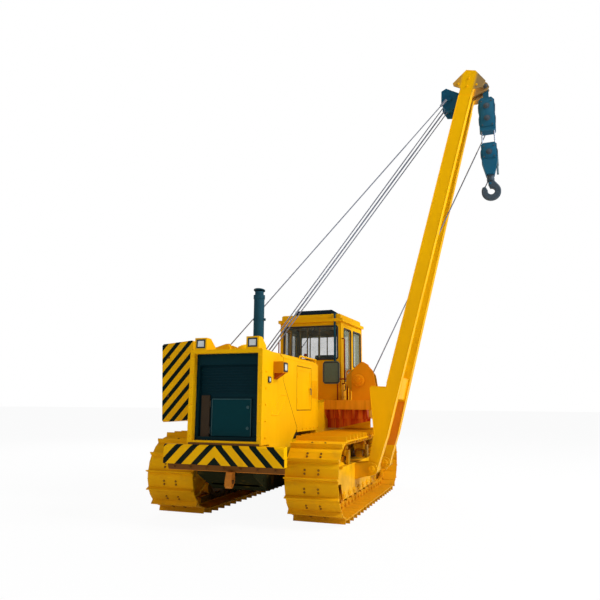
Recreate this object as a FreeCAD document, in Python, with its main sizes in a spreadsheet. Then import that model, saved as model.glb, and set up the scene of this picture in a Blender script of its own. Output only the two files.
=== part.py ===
import FreeCAD, Part
import math
import os

import Sketcher

# A crawler pipelayer: a tractor on two tracks with an A-frame side boom on its left, hung from rope
# falls, and a counterweight that swings out on its right. Millimetres, +X forward, +Y to the machine's
# left (the boom side), +Z up. The origin is on the ground, midway along the tracks' contact length.

doc = FreeCAD.newDocument("Pipelayer")
Vector = FreeCAD.Vector
X_AXIS, Y_AXIS, Z_AXIS = Vector(1, 0, 0), Vector(0, 1, 0), Vector(0, 0, 1)

# ---------------------------------------------------------------------------------------------------
# Driving dimensions
# ---------------------------------------------------------------------------------------------------

DIMENSIONS = {
    # tracks
    "track_centre": 1090,       # half the gauge
    "shoe_width": 760,
    "shoe_count": 47,
    "pin_radius": 465,          # radius of the chain's pins round idler and sprocket
    "wheel_level": 602,         # height of idler and sprocket centres
    "idler_place": 1720,
    "sprocket_place": -1900,
    "link_half_height": 55,
    "plate_thick": 16,
    "grouser_height": 66,
    "rail_offset": 98,          # from the track's centre plane to a link rail's middle
    "rail_thick": 55,
    "frame_half_width": 165,    # of a track roller frame
    "roller_level": 298,
    # tractor
    "hull_half": 420,
    "hull_front": 2640,
    "hull_rear": -2450,
    "hull_top": 1105,
    "hull_bottom": 450,
    "hood_half": 553,
    "hood_top": 2390,
    "hood_rear": 200,
    "guard_front": 2730,
    "guard_rear": 2450,
    "beam_front": 2770,
    "beam_half": 890,
    "sheet": 30,                # thickness of hood and door panels
    # cab
    "cab_front": -1055,
    "cab_rear": -2350,
    "cab_front_half": 642,
    "cab_rear_half": 760,
    "cab_floor": 1740,
    "cab_eaves": 3290,
    "cab_wall": 60,
    "deck_top": 1730,
    # left winch
    "hoist_level": 2080,
    "hoist_offset": 1140,
    # right-hand frame
    "block_offset": 860,        # lower sheave block, out from the centre plane
    "block_level": 2336,
    "lever_root_offset": 1080,
    "lever_root_level": 1560,
    "lever_length": 850,
    "lever_rise": 75,           # degrees above level, folded
    "link_in": 220,
    "link_up": 280,
    # boom
    "boom_plane": -310,
    "boom_foot_offset": 1530,
    "boom_foot_level": 620,
    "boom_length": 7262,
    "boom_lean": 14.8,          # degrees from plumb
    "foot_spread": 580,
    "head_spread": 190,
    "leg_width": 200,
    "leg_depth": 215,
    # tackle
    "tackle_offset": 3620,
    "tackle_level": 7400,
    "rope_radius": 11,
}

sheet = doc.addObject("Spreadsheet::Sheet", "Dims")
for row, (alias, number) in enumerate(DIMENSIONS.items(), start=1):
    sheet.set(f"A{row}", alias)
    sheet.set(f"B{row}", str(number))
    sheet.setAlias(f"B{row}", alias)
doc.recompute()


class Size:
    """A length that carries both its number and its formula over the sheet."""

    def __init__(self, number, formula):
        self.number, self.formula = float(number), formula

    def __add__(self, other):
        other = size(other)
        return Size(self.number + other.number, f"({self.formula} + {other.formula})")

    def __sub__(self, other):
        other = size(other)
        return Size(self.number - other.number, f"({self.formula} - {other.formula})")

    def __mul__(self, factor):
        factor = size(factor)
        return Size(self.number * factor.number, f"({self.formula} * {factor.formula})")

    def __neg__(self):
        return Size(-self.number, f"(0 - {self.formula})")

    def __rsub__(self, other):
        return size(other) - self

    __radd__ = __add__
    __rmul__ = __mul__


def size(number):
    """The number as a Size; a Size stays as it is."""
    return number if isinstance(number, Size) else Size(number, f"{number:.4f}")


def dim(alias):
    return Size(sheet.get(alias), f"Dims.{alias}")


def bind(thing, name, length):
    """Set one length of an object, and its formula where it has one."""
    length = size(length)
    setattr(thing, name, length.number)
    if "Dims." in length.formula:
        thing.setExpression(name, length.formula)


# ---------------------------------------------------------------------------------------------------
# Ways of making a piece
# ---------------------------------------------------------------------------------------------------

NODES = {}


def unique(name):
    return f"{name}_{len(doc.Objects)}"


def node(name, piece):
    """File a finished piece under its node's name."""
    piece.Label = name
    NODES[name] = piece
    return piece


def sketch_on(body, plane, level):
    """An empty sketch on one of the body's origin planes, moved along the plane's normal."""
    sketch = body.newObject("Sketcher::SketchObject", unique("sketch"))
    support = [face for face in body.Origin.OriginFeatures if face.Role == plane + "_Plane"][0]
    sketch.AttachmentSupport = [(support, "")]
    sketch.MapMode = "FlatFace"
    level = size(level)
    sketch.AttachmentOffset = FreeCAD.Placement(Vector(0, 0, level.number), FreeCAD.Rotation())
    if "Dims." in level.formula:
        sketch.setExpression("AttachmentOffset.Base.z", level.formula)
    return sketch


def draw_outline(sketch, points):
    """A closed outline whose corners are held by bound distances from the sketch's origin."""
    first = sketch.GeometryCount
    corners = [(size(u), size(v)) for u, v in points]
    for index, (u, v) in enumerate(corners):
        after_u, after_v = corners[(index + 1) % len(corners)]
        line = Part.LineSegment(Vector(u.number, v.number, 0), Vector(after_u.number, after_v.number, 0))
        sketch.addGeometry(line, False)
    for index in range(len(corners)):
        after = first + (index + 1) % len(corners)
        sketch.addConstraint(Sketcher.Constraint("Coincident", first + index, 2, after, 1))
    for index, corner in enumerate(corners):
        for kind, axis, length in (("DistanceX", -2, corner[0]), ("DistanceY", -1, corner[1])):
            if abs(length.number) < 1e-6:
                sketch.addConstraint(Sketcher.Constraint("PointOnObject", first + index, 1, axis))
                continue
            held = sketch.addConstraint(
                Sketcher.Constraint(kind, -1, 1, first + index, 1, length.number))
            if "Dims." in length.formula:
                sketch.setExpression(f"Constraints[{held}]", length.formula)


def draw_circle(sketch, u, v, radius):
    u, v, radius = size(u), size(v), size(radius)
    at = sketch.addGeometry(Part.Circle(Vector(u.number, v.number, 0), Z_AXIS, radius.number), False)
    for kind, axis, length in (("DistanceX", -2, u), ("DistanceY", -1, v)):
        if abs(length.number) < 1e-6:
            sketch.addConstraint(Sketcher.Constraint("PointOnObject", at, 3, axis))
            continue
        held = sketch.addConstraint(Sketcher.Constraint(kind, -1, 1, at, 3, length.number))
        if "Dims." in length.formula:
            sketch.setExpression(f"Constraints[{held}]", length.formula)
    held = sketch.addConstraint(Sketcher.Constraint("Radius", at, radius.number))
    if "Dims." in radius.formula:
        sketch.setExpression(f"Constraints[{held}]", radius.formula)


def draw(sketch, outlines, circles):
    for outline in outlines:
        draw_outline(sketch, outline)
    for circle in circles:
        draw_circle(sketch, *circle)


def add_slab(body, plane, outline, low, high, circles=(), openings=()):
    """Pad an outline between two levels of the plane's own axis; inner loops are left open."""
    low, high = size(low), size(high)
    sketch = sketch_on(body, plane, -high if plane == "XZ" else low)
    draw(sketch, [outline, *openings] if outline else openings, circles)
    pad = body.newObject("PartDesign::Pad", unique("pad"))
    pad.Profile = sketch
    bind(pad, "Length", high - low)
    return body


def slab(name, plane, outline, low, high, circles=(), openings=()):
    body = doc.addObject("PartDesign::Body", unique(name))
    add_slab(body, plane, outline, low, high, circles, openings)
    return body


def cut_slab(body, plane, outline, low, high, circles=()):
    """Pocket an outline out of the body between two levels of the plane's own axis."""
    low, high = size(low), size(high)
    sketch = sketch_on(body, plane, -low if plane == "XZ" else high)
    draw(sketch, [outline] if outline else [], circles)
    doc.recompute()
    before = body.Shape.Volume
    pocket = body.newObject("PartDesign::Pocket", unique("pocket"))
    pocket.Profile = sketch
    bind(pocket, "Length", high - low)
    doc.recompute()
    if body.Shape.Volume > before - 1:
        raise ValueError(f"a pocket of {body.Name} cuts nothing")
    return body


def turned(name, along, profile):
    """Revolve a profile about X, Y or Z: its points are (place along the axis, radius)."""
    body = doc.addObject("PartDesign::Body", unique(name))
    plane = "YZ" if along == "Y" else "XZ"
    sketch = sketch_on(body, plane, 0)
    points = [(radius, place) for place, radius in profile] if along == "Z" else profile
    draw_outline(sketch, points)
    spin = body.newObject("PartDesign::Revolution", unique("turn"))
    spin.Profile = sketch
    spin.ReferenceAxis = (sketch, ["V_Axis" if along == "Z" else "H_Axis"])
    spin.Angle = 360
    return body


def soften(body, radius, chooses):
    """Round the body's edges that chooses(edge) picks."""
    doc.recompute()
    tip = body.Tip
    names = [f"Edge{number}" for number, edge in enumerate(tip.Shape.Edges, start=1) if chooses(edge)]
    if not names:
        raise ValueError(f"no edge of {body.Name} to round")
    fillet = body.newObject("PartDesign::Fillet", unique("fillet"))
    fillet.Base = (tip, names)
    bind(fillet, "Radius", radius)
    doc.recompute()
    return body


def runs_along(direction, *at):
    """Picks straight edges along a direction, near the given (position, tolerance) points."""
    def chooses(edge):
        if edge.Curve.TypeId != "Part::GeomLine" or len(edge.Vertexes) != 2:
            return False
        course = edge.Vertexes[1].Point.sub(edge.Vertexes[0].Point)
        if course.Length < 1e-6 or abs(abs(course.normalize().dot(direction)) - 1) > 1e-6:
            return False
        middle = edge.CenterOfMass
        flat = middle.sub(Vector(direction).multiply(middle.dot(direction)))
        return not at or any(flat.sub(Vector(*point)).Length < 2 for point in at)
    return chooses


def placed(piece, x=0, y=0, z=0, axis=Z_AXIS, degrees=0):
    """Give a piece its place, each coordinate bound to the sheet where it has a formula."""
    place = [size(length) for length in (x, y, z)]
    piece.Placement = FreeCAD.Placement(Vector(*[length.number for length in place]),
                                        FreeCAD.Rotation(axis, float(size(degrees).number)))
    for letter, length in zip("xyz", place):
        if "Dims." in length.formula:
            piece.setExpression(f"Placement.Base.{letter}", length.formula)
    return piece


def box(low, high):
    """A block between two corners."""
    piece = doc.addObject("Part::Box", unique("block"))
    low, high = [size(length) for length in low], [size(length) for length in high]
    for name, start, end in zip(("Length", "Width", "Height"), low, high):
        bind(piece, name, end - start)
    return placed(piece, *low)


AXIS_TURN = {"X": (Y_AXIS, 90), "Y": (X_AXIS, -90), "Z": (Z_AXIS, 0)}


def cylinder(along, start, radius, length):
    """A round bar from a start point, along +X, +Y or +Z."""
    piece = doc.addObject("Part::Cylinder", unique("bar"))
    bind(piece, "Radius", radius)
    bind(piece, "Height", length)
    return placed(piece, *start, *AXIS_TURN[along])


def tube(along, start, outer, inner, length):
    return cut(cylinder(along, start, outer, length), [cylinder(along, start, inner, length)])


def fuse(pieces):
    piece = doc.addObject("Part::MultiFuse", unique("fuse"))
    piece.Shapes = list(pieces)
    return piece


def cut(base, tools):
    piece = doc.addObject("Part::Cut", unique("cut"))
    piece.Base = base
    piece.Tool = tools[0] if len(tools) == 1 else fuse(tools)
    return piece


def together(pieces):
    """Like pieces that don't touch, in one node."""
    piece = doc.addObject("Part::Compound", unique("set"))
    piece.Links = list(pieces)
    return piece


def mirrored(piece, normal=Y_AXIS, base=(0, 0, 0)):
    twin = doc.addObject("Part::Mirroring", unique("twin"))
    twin.Source = piece
    twin.Normal = normal
    twin.Base = Vector(*base)
    return twin


def both_sides(piece):
    return together([piece, mirrored(piece)])


def shaped(name, shape):
    """A piece whose shape is worked out by a formula."""
    piece = doc.addObject("Part::Feature", unique(name))
    piece.Shape = shape
    return piece


def leaned(across, up, degrees):
    """A point (y, z) given in a frame that leans outwards by an angle, in the machine's frame."""
    turn = math.radians(degrees)
    return (across * math.cos(turn) + up * math.sin(turn),
            -across * math.sin(turn) + up * math.cos(turn))


# ---------------------------------------------------------------------------------------------------
# Tracks: one chain of single-grouser shoes on two link rails, laid as a fixed loop
# ---------------------------------------------------------------------------------------------------

track_centre = dim("track_centre")
wheel_level = dim("wheel_level")
idler_place = dim("idler_place")
sprocket_place = dim("sprocket_place")
pin_radius = dim("pin_radius")


def chain_point(travel):
    """The point of the pin line, in X and Z, at a distance along it."""
    radius, level = pin_radius.number, wheel_level.number
    front, rear = idler_place.number, sprocket_place.number
    straight, half_turn = front - rear, math.pi * radius
    travel = travel % (2 * (straight + half_turn))
    if travel < straight:
        return Vector(rear + travel, 0, level - radius)
    if travel < straight + half_turn:
        turn = (travel - straight) / radius
        return Vector(front + radius * math.sin(turn), 0, level - radius * math.cos(turn))
    if travel < 2 * straight + half_turn:
        return Vector(front - (travel - straight - half_turn), 0, level + radius)
    turn = (travel - 2 * straight - half_turn) / radius
    return Vector(rear - radius * math.sin(turn), 0, level + radius * math.cos(turn))


def chain_pins():
    count = int(dim("shoe_count").number)
    length = 2 * (idler_place.number - sprocket_place.number + math.pi * pin_radius.number)
    return [chain_point(length * index / count) for index in range(count)]


def prism(points, low, high):
    """An outline in X and Z, as a solid between two values of Y."""
    wire = Part.makePolygon([Vector(x, low, z) for x, z in points + points[:1]])
    return Part.Face(wire).extrude(Vector(0, high - low, 0))


def shoe(pin, after, half_width):
    """One shoe: a flat plate from joint to joint with one grouser across it, in the chord's frame."""
    along = after.sub(pin)
    pitch = along.Length
    along.normalize()
    outward = Vector(along.z, 0, -along.x)
    top = dim("link_half_height").number + dim("plate_thick").number
    seat = dim("link_half_height").number - 3
    tip = top + dim("grouser_height").number
    gap, foot, crest, place = 5, 34, 14, 0.30 * pitch
    profile = [(gap, seat), (gap, top - 8), (gap + 10, top), (place - foot / 2, top),
               (place - crest / 2, tip), (place + crest / 2, tip), (place + foot / 2, top),
               (pitch - gap, top), (pitch - gap, seat)]
    points = []
    for travel, rise in profile:
        spot = pin + along * travel + outward * rise
        points.append((spot.x, spot.z))
    return prism(points, -half_width, half_width)


def rail(pins, middle):
    """One link rail: the closed ring of link plates on one side of the bushings."""
    half = dim("link_half_height").number
    thick = dim("rail_thick").number
    rings = []
    for offset in (half, -half):
        ring = []
        for before, pin, after in zip(pins[-1:] + pins[:-1], pins, pins[1:] + pins[:1]):
            course = after.sub(before).normalize()
            ring.append((pin.x + course.z * offset, pin.z - course.x * offset))
        rings.append(prism(ring, middle - thick / 2, middle + thick / 2))
    return rings[0].cut(rings[1])


def track_shape():
    pins = chain_pins()
    half_width = dim("shoe_width").number / 2
    shoes = [shoe(pin, after, half_width) for pin, after in zip(pins, pins[1:] + pins[:1])]
    offset = dim("rail_offset").number
    return rail(pins, offset).fuse([rail(pins, -offset), *shoes])


chain = track_shape()
for side, sign in (("left", 1), ("right", -1)):
    node(f"track_{side}", placed(shaped("track", chain), y=sign * track_centre))

# ---------------------------------------------------------------------------------------------------
# Running gear inside each track
# ---------------------------------------------------------------------------------------------------

frame_half = dim("frame_half_width")

# Front idler: hub, sunk web, rim and the guide flange that runs between the rails.
idler = turned("idler", "Y", [
    (-150, 0), (-150, 110), (-30, 110), (-30, 350), (-125, 350), (-125, 388), (-62, 388), (-62, 415),
    (62, 415), (62, 388), (125, 388), (125, 350), (30, 350), (30, 110), (150, 110), (150, 0)])
placed(idler, idler_place, track_centre, wheel_level)
node("idlers", both_sides(idler))


def sprocket_shape():
    """Drive sprocket: 27 teeth, every second one under a bushing, on a bolted ring with a web."""
    teeth, root, crest = 27, pin_radius.number - 42, pin_radius.number + 16
    points = []
    for tooth in range(teeth):
        for part, radius in ((-0.34, root), (-0.13, crest), (0.13, crest), (0.34, root)):
            turn = 2 * math.pi * (tooth + part) / teeth
            points.append((radius * math.sin(turn), radius * math.cos(turn)))
    ring = prism(points, -34, 34)
    dish = Part.makeCylinder(360, 80, Vector(0, -40, 0), Y_AXIS)
    bore = Part.makeCylinder(270, 100, Vector(0, -50, 0), Y_AXIS)
    return ring.cut(dish).fuse(Part.makeCylinder(375, 30, Vector(0, -15, 0), Y_AXIS)).cut(bore)


sprocket = placed(shaped("sprocket", sprocket_shape()), sprocket_place, track_centre, wheel_level)
node("sprockets", both_sides(sprocket))

# Final drive: the case that grows out of the hull, its neck through the sprocket and its outer cover.
hull_half = dim("hull_half")
sprocket_seat = 269.5
final_drive = turned("final_drive", "Y", [
    (hull_half, 0), (hull_half, 320), (700, 320), (700, 290), (track_centre - 15, 290),
    (track_centre - 15, sprocket_seat), (track_centre + 15, sprocket_seat), (track_centre + 15, 290),
    (track_centre + 90, 290), (track_centre + 150, 225), (track_centre + 262, 225),
    (track_centre + 262, 0)])
placed(final_drive, sprocket_place, 0, wheel_level)
node("final_drives", both_sides(final_drive))


# Boom feet on the left roller frame: two lugs and a pin at each, in the frame's own place.
boom_plane, foot_spread = dim("boom_plane"), dim("foot_spread")
boom_foot_offset, boom_foot_level = dim("boom_foot_offset"), dim("boom_foot_level")
foot_reach = boom_foot_offset - track_centre
boom_feet = []
for sign in (1, -1):
    middle = boom_plane + sign * foot_spread
    for low in (middle - 150, middle + 112):
        boom_feet.append(slab("foot", "YZ", [
            (frame_half - 4, 445), (frame_half - 4, 700), (foot_reach - 100, 720), (foot_reach, 722),
            (foot_reach + 75, 692), (foot_reach + 100, 620), (foot_reach + 75, 548), (foot_reach, 518),
            (foot_reach - 100, 500)], low, low + 38))
    boom_feet.append(cylinder("X", (middle - 158, foot_reach, boom_foot_level), 45, 316))


CARRIER_PLACES = (720, -640)


def roller_frame(name, sign, feet):
    """Track roller frame: box with skirts that hold the rollers, idler fork and recoil housing."""
    inner, outer = -frame_half, frame_half
    profile = [(1285, 540), (1180, 715), (-1180, 715), (-1330, 560), (-1330, 430), (1285, 430)]
    beam = slab("roller_frame", "XZ", profile, inner, outer)
    skirts = []
    for low, high in ((inner, inner + 15), (outer - 15, outer)):
        side = slab("skirt", "XZ", [(1285, 430), (1180, 235), (-1180, 235), (-1330, 430)], low, high)
        fork = slab("fork", "XZ", [
            (idler_place + 130, wheel_level + 55), (idler_place - 120, wheel_level + 100),
            (1200, 690), (1200, 470), (idler_place - 120, wheel_level - 100),
            (idler_place + 130, wheel_level - 55)], low, high)
        skirts += [side, fork]
    recoil = cylinder("X", (600, 0, 640), 120, 685)
    posts = [box((place - 45, -60, 700), (place + 45, 60, 830)) for place in CARRIER_PLACES]
    saddles = [box((place - 60, side * 130 - 20, 700), (place + 60, side * 130 + 20, 935))
               for place in CARRIER_PLACES for side in (-1, 1)]
    return node(name, placed(fuse([beam, *skirts, recoil, *posts, *saddles, *feet]), y=sign * track_centre))


roller_frame("track_frame_left", 1, boom_feet)
roller_frame("track_frame_right", -1, [])

# Rollers: eight between the skirts and two that carry the chain's top run.
ROLLER_PLACES = [-1120 + 320 * step for step in range(8)]
rollers = [cylinder("Y", (place, track_centre - 140, dim("roller_level")), 104, 280)
           for place in ROLLER_PLACES]
rollers += [cylinder("Y", (place, track_centre - 110, 918), 84, 220) for place in CARRIER_PLACES]
node("track_rollers", together([piece for roller in rollers for piece in (roller, mirrored(roller))]))

# ---------------------------------------------------------------------------------------------------
# Tractor: hull, engine, hood and radiator guard
# ---------------------------------------------------------------------------------------------------

hull_front, hull_rear = dim("hull_front"), dim("hull_rear")
hull_top, hull_bottom = dim("hull_top"), dim("hull_bottom")

# Hull: a welded case that is open at the top for the engine.
hull = slab("hull", "XZ", [
    (hull_rear, 640), (hull_rear + 190, hull_bottom), (2150, hull_bottom), (hull_front, 700),
    (hull_front, hull_top), (hull_rear, hull_top)], -hull_half, hull_half)
cut_slab(hull, "XY", [(-150, -370), (2350, -370), (2350, 370), (-150, 370)], 520, hull_top)
node("main_frame", hull)

# Cross members: the stubs of the pivot shaft and of the equaliser bar, from the hull's sides to the
# roller frames that they carry.
frame_face = track_centre - frame_half
pivot_stub = cylinder("Y", (-1150, hull_half, 590), 95, frame_face - hull_half)
equaliser_stub = box((460, hull_half, 500), (620, frame_face, 690))
node("frame_cross_members", together([pivot_stub, mirrored(pivot_stub), equaliser_stub,
                                      mirrored(equaliser_stub)]))

# Engine: one heavy block between the hull's side plates.
node("engine_block", box((700, -370, 760), (1900, 370, 1760)))

# Rear hitch: cheek plates on the hull's rear face with a draw pin standing between them.
hitch_plates = [slab("cheek", "XY", [
    (hull_rear, -150), (hull_rear - 120, -150), (hull_rear - 190, -90), (hull_rear - 190, 90),
    (hull_rear - 120, 150), (hull_rear, 150)], low, low + 40,
    circles=[(hull_rear - 110, 0, 32)]) for low in (500, 640)]
node("drawbar_hitch", fuse([*hitch_plates, box((hull_rear - 20, -150, 480), (hull_rear, 150, 700))]))

hood_half, hood_top, hood_rear = dim("hood_half"), dim("hood_top"), dim("hood_rear")
guard_front, guard_rear = dim("guard_front"), dim("guard_rear")
panel = dim("sheet")
HATCH = [(600, 1560), (1320, 1560), (1320, 2240), (600, 2240)]


def inset(outline, gap):
    """A rectangle's corners moved inwards."""
    centre_u = sum(u for u, v in outline) / len(outline)
    centre_v = sum(v for u, v in outline) / len(outline)
    return [(u + math.copysign(gap, centre_u - u), v + math.copysign(gap, centre_v - v))
            for u, v in outline]


# Hood: top and sides in one bent sheet with a rear bulkhead; its front edge is raked.
hood = slab("hood", "YZ", [
    (-hood_half, 1222), (-hood_half, hood_top - 60), (-hood_half + 60, hood_top),
    (hood_half - 60, hood_top), (hood_half, hood_top - 60), (hood_half, 1222),
    (hood_half - panel, 1222), (hood_half - panel, hood_top - 72),
    (hood_half - 72, hood_top - panel), (-hood_half + 72, hood_top - panel),
    (-hood_half + panel, hood_top - 72), (-hood_half + panel, 1222)], hood_rear, 1936)
add_slab(hood, "YZ", [
    (-hood_half + panel, 1222), (-hood_half + panel, hood_top - 72), (-hood_half + 72, hood_top - panel),
    (hood_half - 72, hood_top - panel), (hood_half - panel, hood_top - 72), (hood_half - panel, 1222)],
    hood_rear, hood_rear + 30)
add_slab(hood, "YZ", [(-hull_half, hull_top), (-hull_half, 1222), (hull_half, 1222), (hull_half, hull_top)],
         hood_rear, hood_rear + 30)
cut_slab(hood, "XZ", [(1292, 1200), (1292, 1284), (1936, 2000), (2000, 2000), (2000, 1200)], -600, 600)
cut_slab(hood, "XZ", HATCH, -600, 600)
node("hood", hood)

# Side hatches: flat doors over the engine, one on each side.
hatch = slab("hatch", "XZ", inset(HATCH, 5), hood_half - panel, hood_half)
cut_slab(hatch, "XZ", inset(HATCH, 60), hood_half - 5, hood_half)
node("engine_door_left", hatch)
node("engine_door_right", mirrored(hatch))

# Radiator guard: a heavy nose frame with raked side cheeks and a top plate.
guard = slab("guard", "YZ", [
    (-hood_half, hull_top), (-hood_half, hood_top - 12), (-hood_half + 12, hood_top),
    (hood_half - 12, hood_top), (hood_half, hood_top - 12), (hood_half, hull_top)],
    guard_rear, guard_front, openings=[[(-488, 1150), (-488, 2336), (488, 2336), (488, 1150)]])
CHEEK = [(guard_rear, 1048), (guard_rear, hood_top - 12), (1940, hood_top - 60), (1940, 1996), (1300, 1278),
         (1640, 1020)]
for sign in (1, -1):
    edge = [sign * (hood_half.number - panel.number), sign * hood_half.number]
    add_slab(guard, "XZ", CHEEK, min(edge), max(edge))
add_slab(guard, "YZ", [
    (-hood_half + panel, hood_top - 60), (-hood_half + 60, hood_top), (hood_half - 60, hood_top),
    (hood_half - panel, hood_top - 60), (hood_half - panel, hood_top - 90),
    (-hood_half + panel, hood_top - 90)], 1940, guard_rear)
node("radiator_guard", guard)

# Radiator grille: a dark sheet in a frame, set back inside the guard's window, with a hinged clean-out
# door low in it and the post that the door hangs on.
grille = slab("grille", "YZ", [(-488, 1150), (-488, 2336), (488, 2336), (488, 1150)], 2560, 2590)
add_slab(grille, "YZ", [(-488, 1150), (-488, 2336), (488, 2336), (488, 1150)], 2590, 2640,
         openings=[[(-440, 1200), (-440, 2180), (440, 2180), (440, 1200)]])
grille_door = box((2588, -248, 1210), (2608, 353, 1720))
grille_post = box((2588, -410, 1198), (2618, -282, 1760))
grille_hinges = [cylinder("Z", (2606, -265, level), 18, 90) for level in (1240, 1600)]
node("radiator_grille", fuse([grille, grille_door, grille_post, *grille_hinges]))

# Front bumper beam, with a lower plate set back under it.
beam_front, beam_half = dim("beam_front"), dim("beam_half")
beam = slab("beam", "XZ", [(beam_front, 835), (beam_front, 1070), (beam_front - 25, 1095),
                           (hull_front, 1095), (hull_front, 835)], -beam_half, beam_half)
add_slab(beam, "XZ", [(hull_front + 60, 835), (hull_front, 835), (hull_front, 745), (hull_front + 20, 745)],
         -beam_half + 30, beam_half - 30)

# Front pull hook: a forged nose that drops from the lower plate, with an eye for a shackle pin.
pull_hook = slab("pull_hook", "XZ", [
    (hull_front, 750), (hull_front, 620), (2690, 560), (2735, 545), (2768, 575), (2766, 640),
    (2730, 750)], 60, 150, circles=[(2712, 628, 27)])
node("bumper_beam", fuse([beam, pull_hook]))

# Exhaust stack: pipe on a flange, with a collar and a tilted rain flap.
stack = turned("stack", "Z", [
    (hood_top, 0), (hood_top, 135), (hood_top + 25, 135), (hood_top + 25, 84), (3300, 84), (3300, 92),
    (3360, 92), (3360, 70), (3420, 70), (3420, 60), (3290, 60), (3290, 0)])
flap = cylinder("Z", (0, 0, 0), 92, 12)
placed(flap, 0, 0, 3436, Y_AXIS, -10)
flap_hinge = box((-84, -20, 3370), (-60, 20, 3446))
node("exhaust_stack", placed(fuse([stack, flap, flap_hinge]), x=1600))

# Work lamps: two on the guard's top edge and one that lights the boom side.
lamp = slab("lamp", "XZ", [(2725, 2390), (2725, 2560), (2600, 2560), (2450, 2450), (2450, 2390)], 305, 490)
cut_slab(lamp, "YZ", [(325, 2412), (325, 2540), (470, 2540), (470, 2412)], 2710, 2725)
side_lamp = box((2150, hood_half, 2080), (2330, 700, 2240))
side_bracket = slab("bracket", "YZ", [(hood_half, 1990), (hood_half, 2080), (690, 2080)], 2180, 2300)
node("work_lamps", together([lamp, mirrored(lamp), fuse([side_lamp, side_bracket])]))

# ---------------------------------------------------------------------------------------------------
# Cab, its platform, the decks and the tank
# ---------------------------------------------------------------------------------------------------

cab_front, cab_rear = dim("cab_front"), dim("cab_rear")
cab_front_half, cab_rear_half = dim("cab_front_half"), dim("cab_rear_half")
cab_floor, cab_eaves, cab_wall = dim("cab_floor"), dim("cab_eaves"), dim("cab_wall")


def cab_plan(inwards):
    """The cab's tapered plan, set inwards by a distance."""
    return [(cab_front - inwards, -cab_front_half + inwards), (cab_front - inwards, cab_front_half - inwards),
            (cab_rear + inwards, cab_rear_half - inwards), (cab_rear + inwards, -cab_rear_half + inwards)]


# Platform that carries the cab and the tank, sloping down to the hood in front.
node("cab_platform", slab("platform", "XZ", [
    (170, hull_top), (170, 1500), (-300, 1690), (cab_front, cab_floor), (cab_rear, cab_floor),
    (cab_rear, 1190), (-2620, 1190), (-2620, hull_top)], -500, 500))

CAB_DOOR = [(-1710, 1800), (-1150, 1800), (-1150, 3230), (-1710, 3230)]
DOOR_WINDOW = [(-1645, 2110), (-1215, 2110), (-1215, 3170), (-1645, 3170)]
SIDE_WINDOW = [(-2275, 2420), (-1780, 2420), (-1780, 3170), (-2275, 3170)]
FRONT_WINDOW = [(-570, 2540), (-570, 3205), (570, 3205), (570, 2540)]
REAR_WINDOW = [(-640, 2420), (-640, 3150), (640, 3150), (640, 2420)]

cab = slab("cab", "XY", cab_plan(0), cab_floor, cab_eaves)
cut_slab(cab, "XY", cab_plan(cab_wall), cab_floor + cab_wall, cab_eaves)
cut_slab(cab, "YZ", FRONT_WINDOW, cab_front - 100, cab_front + 10)
cut_slab(cab, "YZ", REAR_WINDOW, cab_rear - 10, cab_rear + 100)
cut_slab(cab, "XZ", CAB_DOOR, -900, 900)
cut_slab(cab, "XZ", SIDE_WINDOW, -900, 900)
node("cab_shell", cab)


def ring_between(outer, inner, low, high):
    """The cab's wall line between two depths, as a closed ring."""
    return slab("ring", "XY", cab_plan(outer), low, high, openings=[cab_plan(inner)])


def wall_piece(outline, low, high, outer, inner, openings=()):
    """A panel cut from the cab's wall line by an outline in X and Z, on the left side."""
    prism_body = slab("prism", "XZ", outline, low, high, openings=openings)
    piece = doc.addObject("Part::MultiCommon", unique("panel"))
    piece.Shapes = [prism_body, ring_between(outer, inner, 1700, 3300)]
    return piece


door = wall_piece(inset(CAB_DOOR, 5), 500, 900, 0, cab_wall, openings=[DOOR_WINDOW])
node("cab_door_left", door)
node("cab_door_right", mirrored(door))
door_pane = wall_piece(DOOR_WINDOW, 500, 900, 27, 33)
node("cab_door_left_glass", door_pane)
node("cab_door_right_glass", mirrored(door_pane))
side_pane = wall_piece(SIDE_WINDOW, 500, 900, 27, 33)
front_pane = slab("pane", "YZ", FRONT_WINDOW, cab_front - 33, cab_front - 27)
rear_pane = slab("pane", "YZ", REAR_WINDOW, cab_rear + 27, cab_rear + 33)
node("cab_glass", together([front_pane, rear_pane, side_pane, mirrored(side_pane)]))

# Roof: a shallow lid with eaves, crowned by chamfered edges.
roof = slab("roof", "XY", cab_plan(-45), cab_eaves, cab_eaves + 60)
crown = slab("crown", "XY", cab_plan(15), cab_eaves + 60, 3460)
soften(crown, 40, lambda edge: abs(edge.CenterOfMass.z - 3460) < 1)
node("cab_roof", fuse([roof, crown]))
roof_unit = slab("roof_unit", "XZ", [
    (-1085, 3460), (-1085, 3500), (-1110, 3545), (-1600, 3545), (-1640, 3520), (-1640, 3460)], -340, 440)
node("roof_unit", roof_unit)

# Operator's seat on its pedestal, and the control stands either side of it.
floor_top = cab_floor + cab_wall
cushion = slab("cushion", "XZ", [
    (-1500, 2190), (-1500, 2290), (-1560, 2320), (-1930, 2290), (-1990, 2350), (-2080, 2870),
    (-2150, 2900), (-2200, 2860), (-2100, 2190)], -250, 250)
pedestal = box((-2050, -170, floor_top), (-1650, 170, 2190))
node("operator_seat", fuse([cushion, pedestal]))
stands = [box((-1900, side * 430 - 70, floor_top), (-1480, side * 430 + 70, 2330)) for side in (-1, 1)]
dash = slab("dash", "XZ", [(cab_front - cab_wall, 1800), (cab_front - cab_wall, 2300), (-1180, 2330),
                           (-1300, 2240), (-1260, 1800)], -330, 330)
node("control_stands", together([*stands, dash]))

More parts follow.
